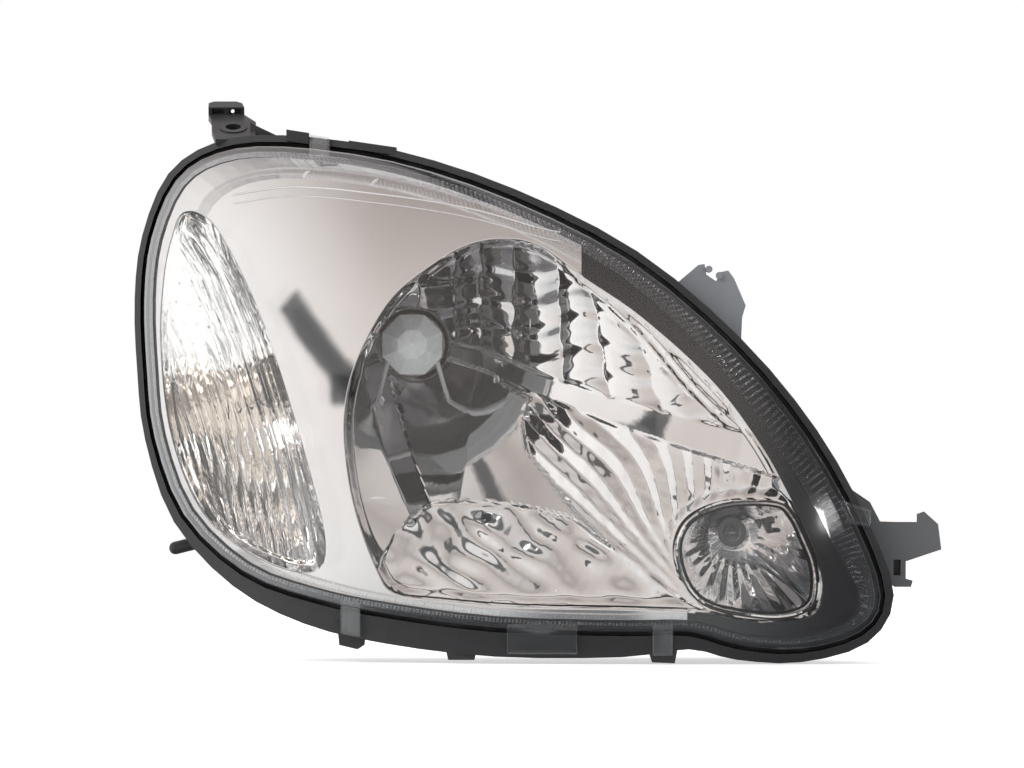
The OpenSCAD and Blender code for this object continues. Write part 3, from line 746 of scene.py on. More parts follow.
@dataclass(frozen=True)
class StudioFloor(Finish):
    """The plain pale floor."""

    def surface(self, shader: Shader) -> Signal:
        """Builds the floor.

        Args:
            shader: where its nodes go.

        Returns:
            The surface.
        """
        tooth = shader.noise(shader.place(), 400.0)
        return shader.principled({
            "Base Color": shader.mix(tooth, (0.93, 0.93, 0.93, 1.0), (0.96, 0.96, 0.96, 1.0)),
            "Roughness": 0.9, "Specular IOR Level": 0.1,
            "Emission Color": (1.0, 1.0, 1.0, 1.0), "Emission Strength": 0.55,
        })


class Slot(Enum):
    """The material slots, each with its finish."""

    HOUSING = ("housing_plastic", MouldedPlastic("housing_plastic", (0.022, 0.023, 0.025, 1), 0.34))
    LENS = ("lens_clear", ThinClear("lens_clear"))
    SEAL = ("seal_rubber", SoftRubber("seal_rubber"))
    BEZEL_SILVER = ("bezel_silver", Aluminised("bezel_silver", wave=22.0, wave_height=0.00012))
    BEZEL_BLACK = ("bezel_black", MouldedPlastic("bezel_black", (0.006, 0.006, 0.007, 1), 0.09,
                                                 grain=60.0, grain_height=0.000002, dust=0.0))
    ZINC = ("zinc_steel", BareMetal("zinc_steel", (0.62, 0.62, 0.63, 1)))
    REFLECTOR = ("reflector_silver", Aluminised("reflector_silver", roughness=0.03, wave=90.0,
                                                wave_height=0.00005))
    SHIELD = ("shield_satin", MouldedPlastic("shield_satin", (0.40, 0.42, 0.43, 1), 0.26,
                                             grain=300.0, grain_height=0.000004, dust=0.0))
    BULB_BASE = ("bulb_base_steel", BareMetal("bulb_base_steel", (0.58, 0.56, 0.52, 1), 0.24))
    BULB_GLASS = ("bulb_glass", ThinClear("bulb_glass", haze=0.02))
    FILAMENT = ("filament_wire", BareMetal("filament_wire", (0.35, 0.34, 0.33, 1), 0.35))
    TERMINAL = ("terminal_brass", BareMetal("terminal_brass", (0.72, 0.55, 0.27, 1), 0.25))
    SPRING = ("spring_wire", BareMetal("spring_wire", (0.55, 0.55, 0.56, 1), 0.3))
    BOOT = ("boot_rubber", SoftRubber("boot_rubber", (0.018, 0.018, 0.019, 1)))
    PARK = ("park_silver", Aluminised("park_silver", roughness=0.03, wave=110.0,
                                      wave_height=0.00006))
    SOCKET = ("socket_grey", MouldedPlastic("socket_grey", (0.16, 0.165, 0.17, 1), 0.45))
    TURN = ("turn_silver", Aluminised("turn_silver", roughness=0.03, wave=60.0,
                                      wave_height=0.0001))
    TURN_LENS = ("turn_lens_clear", SolidClear("turn_lens_clear"))
    TURN_BULB = ("turn_bulb_coated", BareMetal("turn_bulb_coated", (0.78, 0.68, 0.58, 1), 0.1,
                                               (90.0, 90.0, 90.0), 60.0))
    NYLON = ("nylon_white", MouldedPlastic("nylon_white", (0.72, 0.7, 0.64, 1), 0.5))
    MOTOR_BLACK = ("motor_black", MouldedPlastic("motor_black", (0.02, 0.02, 0.021, 1), 0.42))
    MOTOR_GREY = ("motor_grey", MouldedPlastic("motor_grey", (0.1, 0.105, 0.11, 1), 0.45))
    BRACKET_BLUE = ("bracket_bluegrey", MouldedPlastic("bracket_bluegrey", (0.2, 0.215, 0.23, 1), 0.48))
    BRACKET = ("bracket_grey", MouldedPlastic("bracket_grey", (0.085, 0.092, 0.097, 1), 0.45))

    @property
    def finish(self) -> Finish:
        """The slot's finish."""
        return self.value[1]


RIBBED_CLEAR = ThinClear("lens_ribbed", (0.86, 0.88, 0.90, 1.0), roughness=0.02, edge=0.95)
TAB_CLEAR = ThinClear("lens_tab", (0.80, 0.82, 0.83, 1.0), haze=0.03, roughness=0.04, edge=1.3)


class Assembly:
    """A group of pieces on one CAD body."""

    body: str = "lamp_body"

    def dress_node(self, node: str, slot: Slot) -> None:
        """Gives a CAD node its finish.

        Args:
            node: the CAD node's name.
            slot: the material slot it belongs to.
        """
        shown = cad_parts[node]
        for place in shown.material_slots:
            place.link = "OBJECT"
            place.material = slot.finish.material()
        log.info("%s: %s", node, slot.finish.name)

    def add_piece(self, shape: Shape, name: str, slot: Slot, replaces: Sequence[str] = (),
                  finish: Optional[Finish] = None, sharp: float = 32.0) -> bpy.types.Object:
        """Builds a new piece and fixes it to the assembly's body.

        Args:
            shape: its mesh.
            name: of the piece.
            slot: the material slot it belongs to.
            replaces: the CAD nodes that it stands for.
            finish: another finish than the slot's own.
            sharp: edges turned by more than this many degrees stay hard.

        Returns:
            The piece.
        """
        piece = shape.build(name, sharp)
        piece.data.materials.append((finish or slot.finish).material())
        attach(piece, self.body)
        if replaces:
            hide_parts(*replaces)
        log.info("%s: %d faces on %s", name, len(piece.data.polygons), self.body)
        return piece


# ---------------------------------------------------------------- outlines

FLANGE = Outline(np.array([
    (-162, 27), (-158, 64), (-143, 100), (-115, 118), (-75, 121.5), (-10, 112), (59, 89),
    (129, 53), (188, 3), (231, -49), (260, -101), (275, -143), (260, -170), (222, -181),
    (185, -179.5), (158, -173.5), (120, -178), (48, -178), (-15, -171), (-62, -160),
    (-103, -139), (-138, -102), (-155, -55), (-160, -15)], float))
FLANGE_BAND = np.array([6.5, 6.5, 7, 7, 7, 7, 7, 7, 7, 7, 7, 8, 8, 8, 9, 10.5, 15, 17, 17.5, 16,
                        11, 8, 6.5, 6.5])
LENS_EDGE = FLANGE.inset(FLANGE_BAND).smooth(3)
OPENING_GUIDE = Outline(np.array([
    (9.3, 43.5), (33, 57), (56, 60), (75, 55), (98, 38.5), (131.7, 15.1), (172.3, -22),
    (198.9, -57.4), (214, -84), (224, -104), (232, -124.7), (234, -142), (228, -154.5),
    (207, -158.5), (185, -157), (166, -152.5), (120, -150.5), (60, -149.5), (15, -146),
    (-10, -142), (-20, -128), (-31, -98), (-37, -68), (-38, -38), (-31, -9), (-13, 24)], float))
OPENING_COVER = np.array([4, 4, 4, 4, 4, 4, 4, 4, 3.5, 3, 2, 1.5, 1.2, 1, 1, 1.2, 1.5, 1.5, 1.5,
                          2, 3, 4, 4, 4, 4, 4])
OPENING = OPENING_GUIDE.smooth(8)
REFLECTOR_EDGE = OPENING_GUIDE.inset(-OPENING_COVER).smooth(3)
WINDOW_GUIDE = Outline(np.array([
    (-144.4, 38), (-140, 62), (-133, 77), (-117, 71), (-98, 40), (-81, 0), (-60, -67),
    (-49.5, -113), (-57, -130), (-89, -121.5), (-120, -96.6), (-138.8, -52.4), (-145.6, 0)], float))
WINDOW = WINDOW_GUIDE.smooth(12)
PARK_GUIDE = Outline(np.array([
    (150.5, -121), (153, -106), (163, -95.7), (182.7, -89.3), (209, -89.5), (218.5, -97),
    (225.5, -111), (231, -125), (232.5, -140), (229, -151), (217, -156.5), (199, -157),
    (171, -151.5), (157, -140)], float))
PARK_CENTRE = np.array([184.0, -108.0])


# ---------------------------------------------------------------- assemblies


@dataclass
class Lens(Assembly):
    """Clear outer lens: smooth window, ribbed border and skirt."""

    thickness: float = 3.0
    skirt: float = 24.5
    points: int = 2300
    rib_rows: int = 7
    rib_height: float = 1.25
    # Width of the ribbed border, its rib spacing and its slant at each guide point of the flange
    border: Sequence[float] = (5, 5, 5.5, 6, 6.5, 7, 8, 10, 13, 17, 17, 12, 8, 6, 6, 6, 5.5, 5.5,
                               5.5, 5.5, 5, 5, 5, 5)
    pitch: Sequence[float] = (1.9, 1.9, 2, 2.2, 2.4, 2.6, 3, 3.4, 3.8, 4, 4, 3.4, 2.6, 2.2, 2.2,
                              2.2, 2.2, 2.2, 2.2, 2.2, 2, 2, 1.9, 1.9)
    slant: Sequence[float] = (1, 1, 1, 0.8, 0.6, 0.6, 1, 1.6, 2, 2, 1.8, 1.2, 0.5, 0.2, 0, 0, 0, 0,
                              0, 0, 0.4, 0.8, 1, 1)

    def along(self, values: Sequence[float]) -> np.ndarray:
        """Spreads a value given at the flange's guide points along the even lens edge.

        Args:
            values: one for each guide point.

        Returns:
            One for each point of the even edge.
        """
        at = LENS_EDGE.lengths()
        places = at[:-1][::3] / at[-1]
        places = np.append(places, 1.0)
        return np.interp(np.arange(self.points) / self.points, places, list(values) + [values[0]])

    def build(self) -> None:
        """Builds the window and the ribbed border, which stand for the CAD lens."""
        edge = LENS_EDGE.even(self.points)
        width = self.along(self.border)
        inner = edge.inset(width)
        coarse = Outline(inner.points[::6])
        window = Shape().slab([coarse], coarse.holds, 6.0, lambda p: dome(p, 0.0),
                              lambda p: dome(p, self.thickness))
        self.add_piece(window, "lens_window", Slot.LENS, ["lens"])

        def ring(inset: Union[float, np.ndarray], depth: Union[float, np.ndarray]) -> np.ndarray:
            """One ring of the border on the dome."""
            flat = edge.inset(inset).points
            return np.stack([flat[:, 0], dome(flat, depth), flat[:, 1]], axis=1)

        pitch, slant = self.along(self.pitch), self.along(self.slant)
        run = np.cumsum(edge.lengths()[-1] / self.points / pitch)
        run *= round(run[-1]) / run[-1]
        rings = [ring(width, 0.0), ring(2.0, 0.0), ring(0.7, 0.2), ring(0.0, 0.9),
                 ring(0.0, self.skirt), ring(self.thickness, self.skirt),
                 ring(self.thickness, self.thickness + 0.9)]
        for t in np.linspace(0, 1, self.rib_rows):
            inset = self.thickness + 0.4 + (width - self.thickness - 0.4) * t
            phase = (run - slant * inset / pitch) % 1.0
            rib = np.where(phase < 0.72, phase / 0.72, (1 - phase) / 0.28)
            rings.append(ring(inset, self.thickness + self.rib_height * rib * (1 - t) ** 0.4))
        border = Shape().loft(rings)
        self.add_piece(border, "lens_border", Slot.LENS, ["lens"], RIBBED_CLEAR, 24.0)
        self.build_tabs()
        self.dress_node("lens_seal", Slot.SEAL)

    def build_tabs(self) -> None:
        """Builds the five latch tabs that reach over the flange, clear like the lens."""
        tabs = Shape()
        for corners in (((-59.5, 108), (-59.5, 121.5), (-48, 119.5), (-48, 108)),
                        ((55, -160), (55, -175.5), (94, -175.5), (94, -160)),
                        ((243, -88), (262, -94), (261, -104), (249, -102)),
                        ((-40, -146), (-40, -165), (-30, -167), (-30, -148)),
                        ((138, -160), (138, -176.5), (148, -176.5), (148, -160))):
            outline = Outline(np.array(corners, float))
            tabs.slab([outline], outline.holds, 4.0, lambda p: dome(p, 9.0), lambda p: dome(p, 12.0))
            rim = outline.inset(1.2) if outline.holds(outline.inset(1.2).points).all() else outline
            tabs.loft([np.stack([rim.inset(d).points[:, 0], dome(rim.points, h),
                                 rim.inset(d).points[:, 1]], axis=1)
                       for d, h in ((0, 9.0), (0, 8.4), (0.8, 8.4), (0.8, 9.0))])
        self.add_piece(tabs, "lens_tabs", Slot.LENS, ["lens"], TAB_CLEAR)


@dataclass
class Bezels(Assembly):
    """Bright and black bezels behind the lens, with their lips, step lines and screws."""

    depth: float = 15.0
    thickness: float = 2.2
    lip: float = 22.0
    edge: float = 6.2
    joint: Sequence[tuple[float, float]] = ((97, 0), (97, 62), (103, 130))
    lower_joint: Sequence[tuple[float, float]] = ((157, -140), (157, -230))
    steps: Sequence[tuple[float, float]] = ((-104, 86), (-81, 91.6), (-53, 91), (4, 83.5), (39, 77),
                                            (85, 62.6))
    posts: Sequence[tuple[float, float]] = ((-60, 97), (-20, 92), (-42, -136), (252, -140),
                                            (229.7, -85.6))

    def black(self, points: np.ndarray) -> np.ndarray:
        """Tests which points belong to the black bezel.

        Args:
            points: X and Z.

        Returns:
            True for each point of the black bezel.
        """
        top = right_of(points, list(self.joint)[::-1]) > 0
        low = points[:, 0] > 157
        return np.where(points[:, 1] > -80, top, low)

    def on_dome(self, outline: Outline, depth: float) -> np.ndarray:
        """An outline's points laid on the dome at a depth."""
        flat = outline.points
        return np.stack([flat[:, 0], dome(flat, depth), flat[:, 1]], axis=1)

    def build(self) -> None:
        """Builds both bezels, which stand for the CAD ones."""
        outer = LENS_EDGE.inset(self.edge)
        outer = Outline(outer.points).even(300)
        hole = OPENING.inset(-0.9)
        pane = WINDOW.inset(-0.9)

        def face(black: bool) -> Shape:
            """One bezel's face."""
            def keep(p: np.ndarray) -> np.ndarray:
                """Points on this bezel."""
                on = outer.holds(p) & ~hole.holds(p) & ~pane.holds(p)
                return on & (self.black(p) == black)
            return Shape().slab([outer, hole, pane], keep, 5.0, lambda p: dome(p, self.depth),
                                lambda p: dome(p, self.depth + self.thickness),
                                [np.array(self.joint[:2] + self.joint[2:], float),
                                 np.array(self.lower_joint, float)])

        bright, dark = face(False), face(True)
        # lip round the opening: rounded over the edge, then straight back
        profile = ((-0.9, self.depth), (-0.45, self.depth + 0.12), (-0.12, self.depth + 0.45),
                   (0.0, self.depth + 1.0), (0.0, self.lip), (-2.0, self.lip),
                   (-2.0, self.depth + self.thickness))
        rings = [self.on_dome(OPENING.inset(d), h) for d, h in profile]
        mine = self.black(OPENING.points)
        start = int(np.flatnonzero(mine & ~np.roll(mine, 1))[0])
        order = np.roll(np.arange(len(mine)), -start)
        split = int(mine.sum())
        dark.loft([ring[order[:split]] for ring in rings], round_shut=False)
        bright.loft([ring[order[split:]] for ring in rings], round_shut=False)
        bright.loft([self.on_dome(WINDOW.inset(d), h) for d, h in profile])
        # turned-back outer edge
        border = Outline(LENS_EDGE.inset(self.edge).points).even(600)
        rings = [self.on_dome(border.inset(d), h) for d, h in
                 ((0, self.depth), (0, 18.7), (1.8, 18.7), (1.8, self.depth + self.thickness))]
        mine = self.black(border.points)
        start = int(np.flatnonzero(mine & ~np.roll(mine, 1))[0])
        order = np.roll(np.arange(len(mine)), -start)
        split = int(mine.sum())
        dark.loft([ring[order[:split]] for ring in rings], round_shut=False)
        bright.loft([ring[order[split:]] for ring in rings], round_shut=False)
        # two raised lines along the top
        for drop, reach in ((0.0, 0.55), (5.2, 0.4)):
            line = np.array(self.steps, float) - (0, drop)
            fine = np.linspace(line[0, 0], line[-1, 0], 90)
            track = np.stack([fine, np.interp(fine, line[:, 0], line[:, 1])], axis=1)
            track[:, 1] = np.convolve(np.pad(track[:, 1], 8, "edge"), np.ones(17) / 17, "valid")
            bright.tube(np.stack([track[:, 0], dome(track, self.depth), track[:, 1]], axis=1), reach, 8)
        for number, (x, z) in enumerate(self.posts):
            root = float(dome(np.array([(x, z)], float), self.depth + 1.0)[0])
            path = np.array([(x, y, z) for y in np.linspace(root, root + 13.0, 3)])
            (bright if number < 3 else dark).tube(path, 3.5, 24)
        self.add_piece(bright, "bright_bezel", Slot.BEZEL_SILVER, ["chrome_bezel"])
        self.add_piece(dark, "dark_bezel", Slot.BEZEL_BLACK, ["black_bezel"])
        self.dress_node("bezel_screws", Slot.ZINC)


@dataclass
class MainReflector(Assembly):
    """Main bowl with its cut facets, bulb shield and the sockets that aim it."""

    body: str = "reflector"
    focus: float = 36.0
    rim: float = 40.0
    neck: float = 18.4
    lift: float = 1.5
    step: float = 1.0
    ledge: Sequence[tuple[float, float]] = ((-45, 8), (15.7, 2.9), (40.6, -2.9), (71.3, -15.7),
                                            (120, -31.9), (190, -50), (240, -62))
    columns: Sequence[float] = (-60, 3, 24, 39, 58, 86, 108, 132, 160, 190, 230)
    arc: Sequence[tuple[float, float]] = ((-40, -150), (-18.6, -128.2), (-11, -110.2), (-1.2, -99.2),
                                          (11.6, -91.6), (30.2, -89.9), (56.3, -91.6), (76.6, -95.7),
                                          (92.2, -99.8), (160, -150))
    zigzag: Sequence[tuple[float, float]] = ((40, -6), (47, -15.7), (48.7, -21.5), (68.4, -31.3),
                                             (62.6, -41.2), (63.2, -45.2), (66.1, -61.5),
                                             (92.2, -95.1), (150, -150))

    def bowl(self, points: np.ndarray) -> np.ndarray:
        """Y of the bowl's plain surface: steep round the bulb, level under the rim.

        Args:
            points: X and Z.

        Returns:
            Y at each point.
        """
        steep = self.focus**2 / 54
        under = -dome(points, self.rim + 11)
        deep = steep * (np.sqrt(1 + (points**2).sum(axis=1) / self.focus**2) - 1) + 3
        return -((deep**-4 + under**-4) ** -0.25)

    def upper(self, points: np.ndarray) -> np.ndarray:
        """Relief above the ledge: bulged upright columns crossed by wavy ripples.

        Args:
            points: X and Z.

        Returns:
            Height towards the lens.
        """
        lean = points[:, 0] + 0.32 * np.clip(points[:, 0] - 70, 0, 80) / 80 * points[:, 1]
        edges = np.array(self.columns, float)
        which = np.clip(np.searchsorted(edges, lean) - 1, 0, len(edges) - 2)
        wide = (edges[1:] - edges[:-1])[which]
        across = (lean - edges[which]) / wide * 2 - 1
        bulge = 0.06 * wide * (1 - across**2)
        wave = points[:, 1] + 2.2 * np.sin(lean / 9.0) + 3.0 * wobble(points, 60, 3)
        ripple = 0.55 * np.sin(math.tau * wave / 21.0 + which) + 0.16 * np.sin(math.tau * wave / 9.3)
        return bulge + ripple + 0.08 * wobble(points, 22, 4)

    def flutes(self, points: np.ndarray) -> np.ndarray:
        """Relief of the long slanted flutes under the upper right rim.

        Args:
            points: X and Z.

        Returns:
            Height towards the lens.
        """
        way = np.array([121.0, -127.0]) / math.hypot(121.0, 127.0)
        side = points @ np.array([-way[1], way[0]])
        run = points @ way
        bend = side + 1.6 * np.sin(run / 17.0)
        cut = np.abs((bend / 5.4) % 1.0 - 0.5) * 2
        return 1.0 * cut**1.5 + 0.22 * np.sin(run / 2.6 + 2 * wobble(points, 20, 8)) * (cut > 0.3)

    def plates(self, points: np.ndarray) -> np.ndarray:
        """Relief of the three plain upright plates beside the bulb.

        Args:
            points: X and Z.

        Returns:
            Height towards the lens.
        """
        first = right_of(points, ((-32, 0), (-29.6, -15.7), (-17.4, -59.7), (-1.2, -99.2), (20, -150)))
        second = right_of(points, ((-18, 0), (-14.5, -15.7), (-10.4, -33.6), (10.4, -91.6), (26, -150)))
        tilt = np.where(second > 0, 1.0 + 0.11 * second - 0.05 * (points[:, 1] + 30), -0.30 * second)
        tilt = np.where(first < 0, -0.30 * (second - first) + 0.10 * first, tilt)
        return np.clip(tilt, -4, 6) + 0.05 * wobble(points, 55, 5)

    def lower(self, points: np.ndarray) -> np.ndarray:
        """Relief of the low dome: crinkled, with streaks down to the right.

        Args:
            points: X and Z.

        Returns:
            Height towards the lens.
        """
        streak = points @ np.array([0.62, 0.78]) + 5 * wobble(points, 45, 11)
        along = points @ np.array([0.78, -0.62])
        return (0.9 * np.sin(streak / 3.1) * (0.4 + 0.6 * np.sin(along / 21.0) ** 2)
                + 0.9 * wobble(points, 24, 12) + 0.10 * wobble(points, 8, 13))

    def wedge(self, points: np.ndarray) -> np.ndarray:
        """Relief of the right side: long facets that meet by the park lamp.

        Args:
            points: X and Z.

        Returns:
            Height towards the lens.
        """
        away = points - np.array([172.0, -160.0])
        angle = np.degrees(np.arctan2(away[:, 1], -away[:, 0])) + 3.0 * wobble(points, 70, 21)
        reach = np.linalg.norm(away, axis=1)
        cut = np.abs((angle / 7.5) % 1.0 - 0.5) * 2
        swell = 0.35 * np.sin(reach / 6.5 + 6 * np.floor(angle / 7.5) + wobble(points, 30, 22))
        return reach / 60.0 * cut + swell + 0.1 * wobble(points, 8, 23)

    def relief(self, points: np.ndarray) -> np.ndarray:
        """Joins the regions' reliefs, with the steps between them.

        Args:
            points: X and Z.

        Returns:
            Height towards the lens over the plain bowl.
        """
        over = above(points, self.ledge)
        top = step_up(over, 0.9)
        slope = right_of(points, ((75, 62), (94, 38), (150, -20), (215, -89), (230, -105)))
        long = top * step_up(slope, 1.5)
        right = step_up(right_of(points, self.zigzag), 0.8)
        low = 1 - step_up(above(points, self.arc), 0.8)
        band = 1 - step_up(-over - 9 - 0.06 * points[:, 0], 0.9)
        total = self.plates(points) * (1 - right) + (self.wedge(points) + 1.4) * right
        total = total * (1 - band) + (1.0 + 0.02 * points[:, 0]) * band * np.clip(
            points[:, 0] / 40, 0, 1) + total * band * (1 - np.clip(points[:, 0] / 40, 0, 1))
        total = total * (1 - low) + (self.lower(points) + 2.2) * low
        raised = (self.upper(points) + 2.6) * (1 - long) + (self.flutes(points) + 3.4) * long
        return total * (1 - top) + raised * top

    def face(self, points: np.ndarray) -> np.ndarray:
        """Y of the bright face, fading to the plain bowl at its edges.

        Args:
            points: X and Z.

        Returns:
            Y at each point.
        """
        rim = step_up(REFLECTOR_EDGE.gap(points) - 5.0, 3.0)
        bulb = step_up(np.linalg.norm(points, axis=1) - self.neck - 1.5, 1.5)
        lamp = step_up(PARK_GUIDE.smooth(4).gap(points) - 4.0, 3.5)
        mask = rim * bulb * lamp
        return self.bowl(points) - self.lift - mask * np.clip(self.relief(points), -0.6, 9.0)

    def build(self) -> None:
        """Builds the bright face and dresses the CAD nodes of the reflector."""
        edge = REFLECTOR_EDGE.inset(2.4).smooth(3)
        turn = np.arange(72) * -math.tau / 72
        hole = Outline(self.neck * np.stack([np.cos(turn), np.sin(turn)], axis=1))
        lamp = PARK_GUIDE.smooth(8).inset(-0.9)

        def keep(p: np.ndarray) -> np.ndarray:
            """Points on the face."""
            return edge.holds(p) & ~hole.holds(p) & ~lamp.holds(p)

        plate = Shape().slab([edge, hole, lamp], keep, self.step, self.face,
                             lambda p: self.face(p) + 0.5)
        self.add_piece(plate, "reflector_face", Slot.REFLECTOR, sharp=50.0)
        self.dress_node("main_reflector", Slot.REFLECTOR)
        for node, slot in (("bulb_shield", Slot.SHIELD), ("shield_screws", Slot.ZINC),
                           ("h4_base", Slot.BULB_BASE), ("h4_glass", Slot.BULB_GLASS),
                           ("h4_filaments", Slot.FILAMENT), ("h4_terminals", Slot.TERMINAL),
                           ("bulb_clip", Slot.SPRING), ("clip_screws", Slot.ZINC),
                           ("dust_boot", Slot.BOOT), ("vertical_socket", Slot.NYLON),
                           ("horizontal_socket", Slot.NYLON), ("pivot_socket", Slot.NYLON),
                           ("pivot_stud", Slot.ZINC), ("horizontal_stud", Slot.NYLON),
                           ("horizontal_wheel", Slot.MOTOR_GREY)):
            self.dress_node(node, slot)


@dataclass
class ParkLamp(Assembly):
    """Park lamp's own bright cup with its fluted bowl, socket and bulb."""

    body: str = "reflector"
    rim: float = 40.0
    floor_y: float = -72.0
    collar: float = 8.9
    points: int = 280
    flutes: int = 26

    def build(self) -> None:
        """Builds the fluted bowl and dresses the CAD nodes of the park lamp."""
        rim = PARK_GUIDE.smooth(8).even(self.points)
        inner = rim.inset(3.3).points
        away = inner - PARK_CENTRE
        away /= np.linalg.norm(away, axis=1)[:, None]
        neck = PARK_CENTRE + away * self.collar
        angle = np.arctan2(away[:, 1], away[:, 0])
        low = step_up(-away[:, 1] + 0.1, 0.5)
        rings = []
        for t in np.linspace(0.04, 0.97, 26):
            flat = inner + (neck - inner) * t
            base = dome(flat, self.rim - 1)
            y = base + (self.floor_y - base) * math.sin(math.pi / 2 * t)
            flute = np.abs((angle / math.tau * self.flutes) % 1.0 - 0.5) * 2
            swell = 0.9 * flute * low + 0.35 * np.sin(9 * t * math.pi + 3 * angle) * (1 - low)
            y = y - 0.8 - swell * math.sin(math.pi * min(1.0, t * 1.05)) ** 0.7
            rings.append(np.stack([flat[:, 0], y, flat[:, 1]], axis=1))
        rings += [ring + (0, 0.4, 0) for ring in rings[::-1]]
        self.add_piece(Shape().loft(rings), "park_bowl", Slot.PARK, sharp=50.0)
        for node, slot in (("park_reflector", Slot.PARK), ("park_socket", Slot.SOCKET),
                           ("park_bulb", Slot.BULB_GLASS), ("park_filament", Slot.FILAMENT)):
            self.dress_node(node, slot)


@dataclass
class TurnSignal(Assembly):
    """Turn signal: fluted inner lens over its reflector, with socket and coated bulb."""

    front: float = 18.1
    back: float = 19.4
    flute: float = 1.3
    pitch: float = 6.4
    side: Sequence[tuple[float, float]] = ((-125, 90), (-117, 71), (-98, 40), (-81, 0), (-60, -67),
                                           (-49.5, -113), (-46, -135))

    def fluted(self, points: np.ndarray) -> np.ndarray:
        """Y of the inner lens's rear face, with round flutes along the window's inboard side.

        Args:
            points: X and Z.

        Returns:
            Y at each point.
        """
        across = right_of(points, self.side) / self.pitch
        round_back = np.sqrt(np.clip(1 - (2 * (across % 1.0) - 1) ** 2, 0, 1))
        inside = step_up(WINDOW.gap(points) - 5.0, 1.0)
        return dome(points, self.back) + self.flute * round_back * inside

    def build(self) -> None:
        """Builds the fluted inner lens and dresses the CAD nodes of the turn signal."""
        edge = WINDOW.inset(0.5)
        plate = Shape().slab([edge], edge.holds, 0.9, lambda p: dome(p, self.front), self.fluted)
        self.add_piece(plate, "turn_inner_lens", Slot.TURN_LENS, ["turn_lens"], sharp=60.0)
        for node, slot in (("turn_reflector", Slot.TURN), ("turn_gasket", Slot.SEAL),
                           ("turn_socket", Slot.SOCKET), ("turn_bulb_base", Slot.BULB_BASE),
                           ("turn_bulb", Slot.TURN_BULB), ("turn_filament", Slot.FILAMENT)):
            self.dress_node(node, slot)


@dataclass
class Housing(Assembly):
    """Black housing with its brackets, motor and vents."""

    def build(self) -> None:
        """Dresses the CAD nodes of the housing."""
        for node, slot in (("housing", Slot.HOUSING), ("motor_case", Slot.MOTOR_BLACK),
                           ("motor_cover", Slot.MOTOR_GREY), ("motor_seal", Slot.SEAL),
                           ("motor_plunger", Slot.NYLON), ("motor_pins", Slot.TERMINAL),
                           ("upper_bracket", Slot.BRACKET_BLUE), ("lower_bracket", Slot.BRACKET),
                           ("bracket_screws", Slot.ZINC), ("vent_elbow", Slot.BOOT),
                           ("breather_cap", Slot.MOTOR_BLACK)):
            self.dress_node(node, slot)


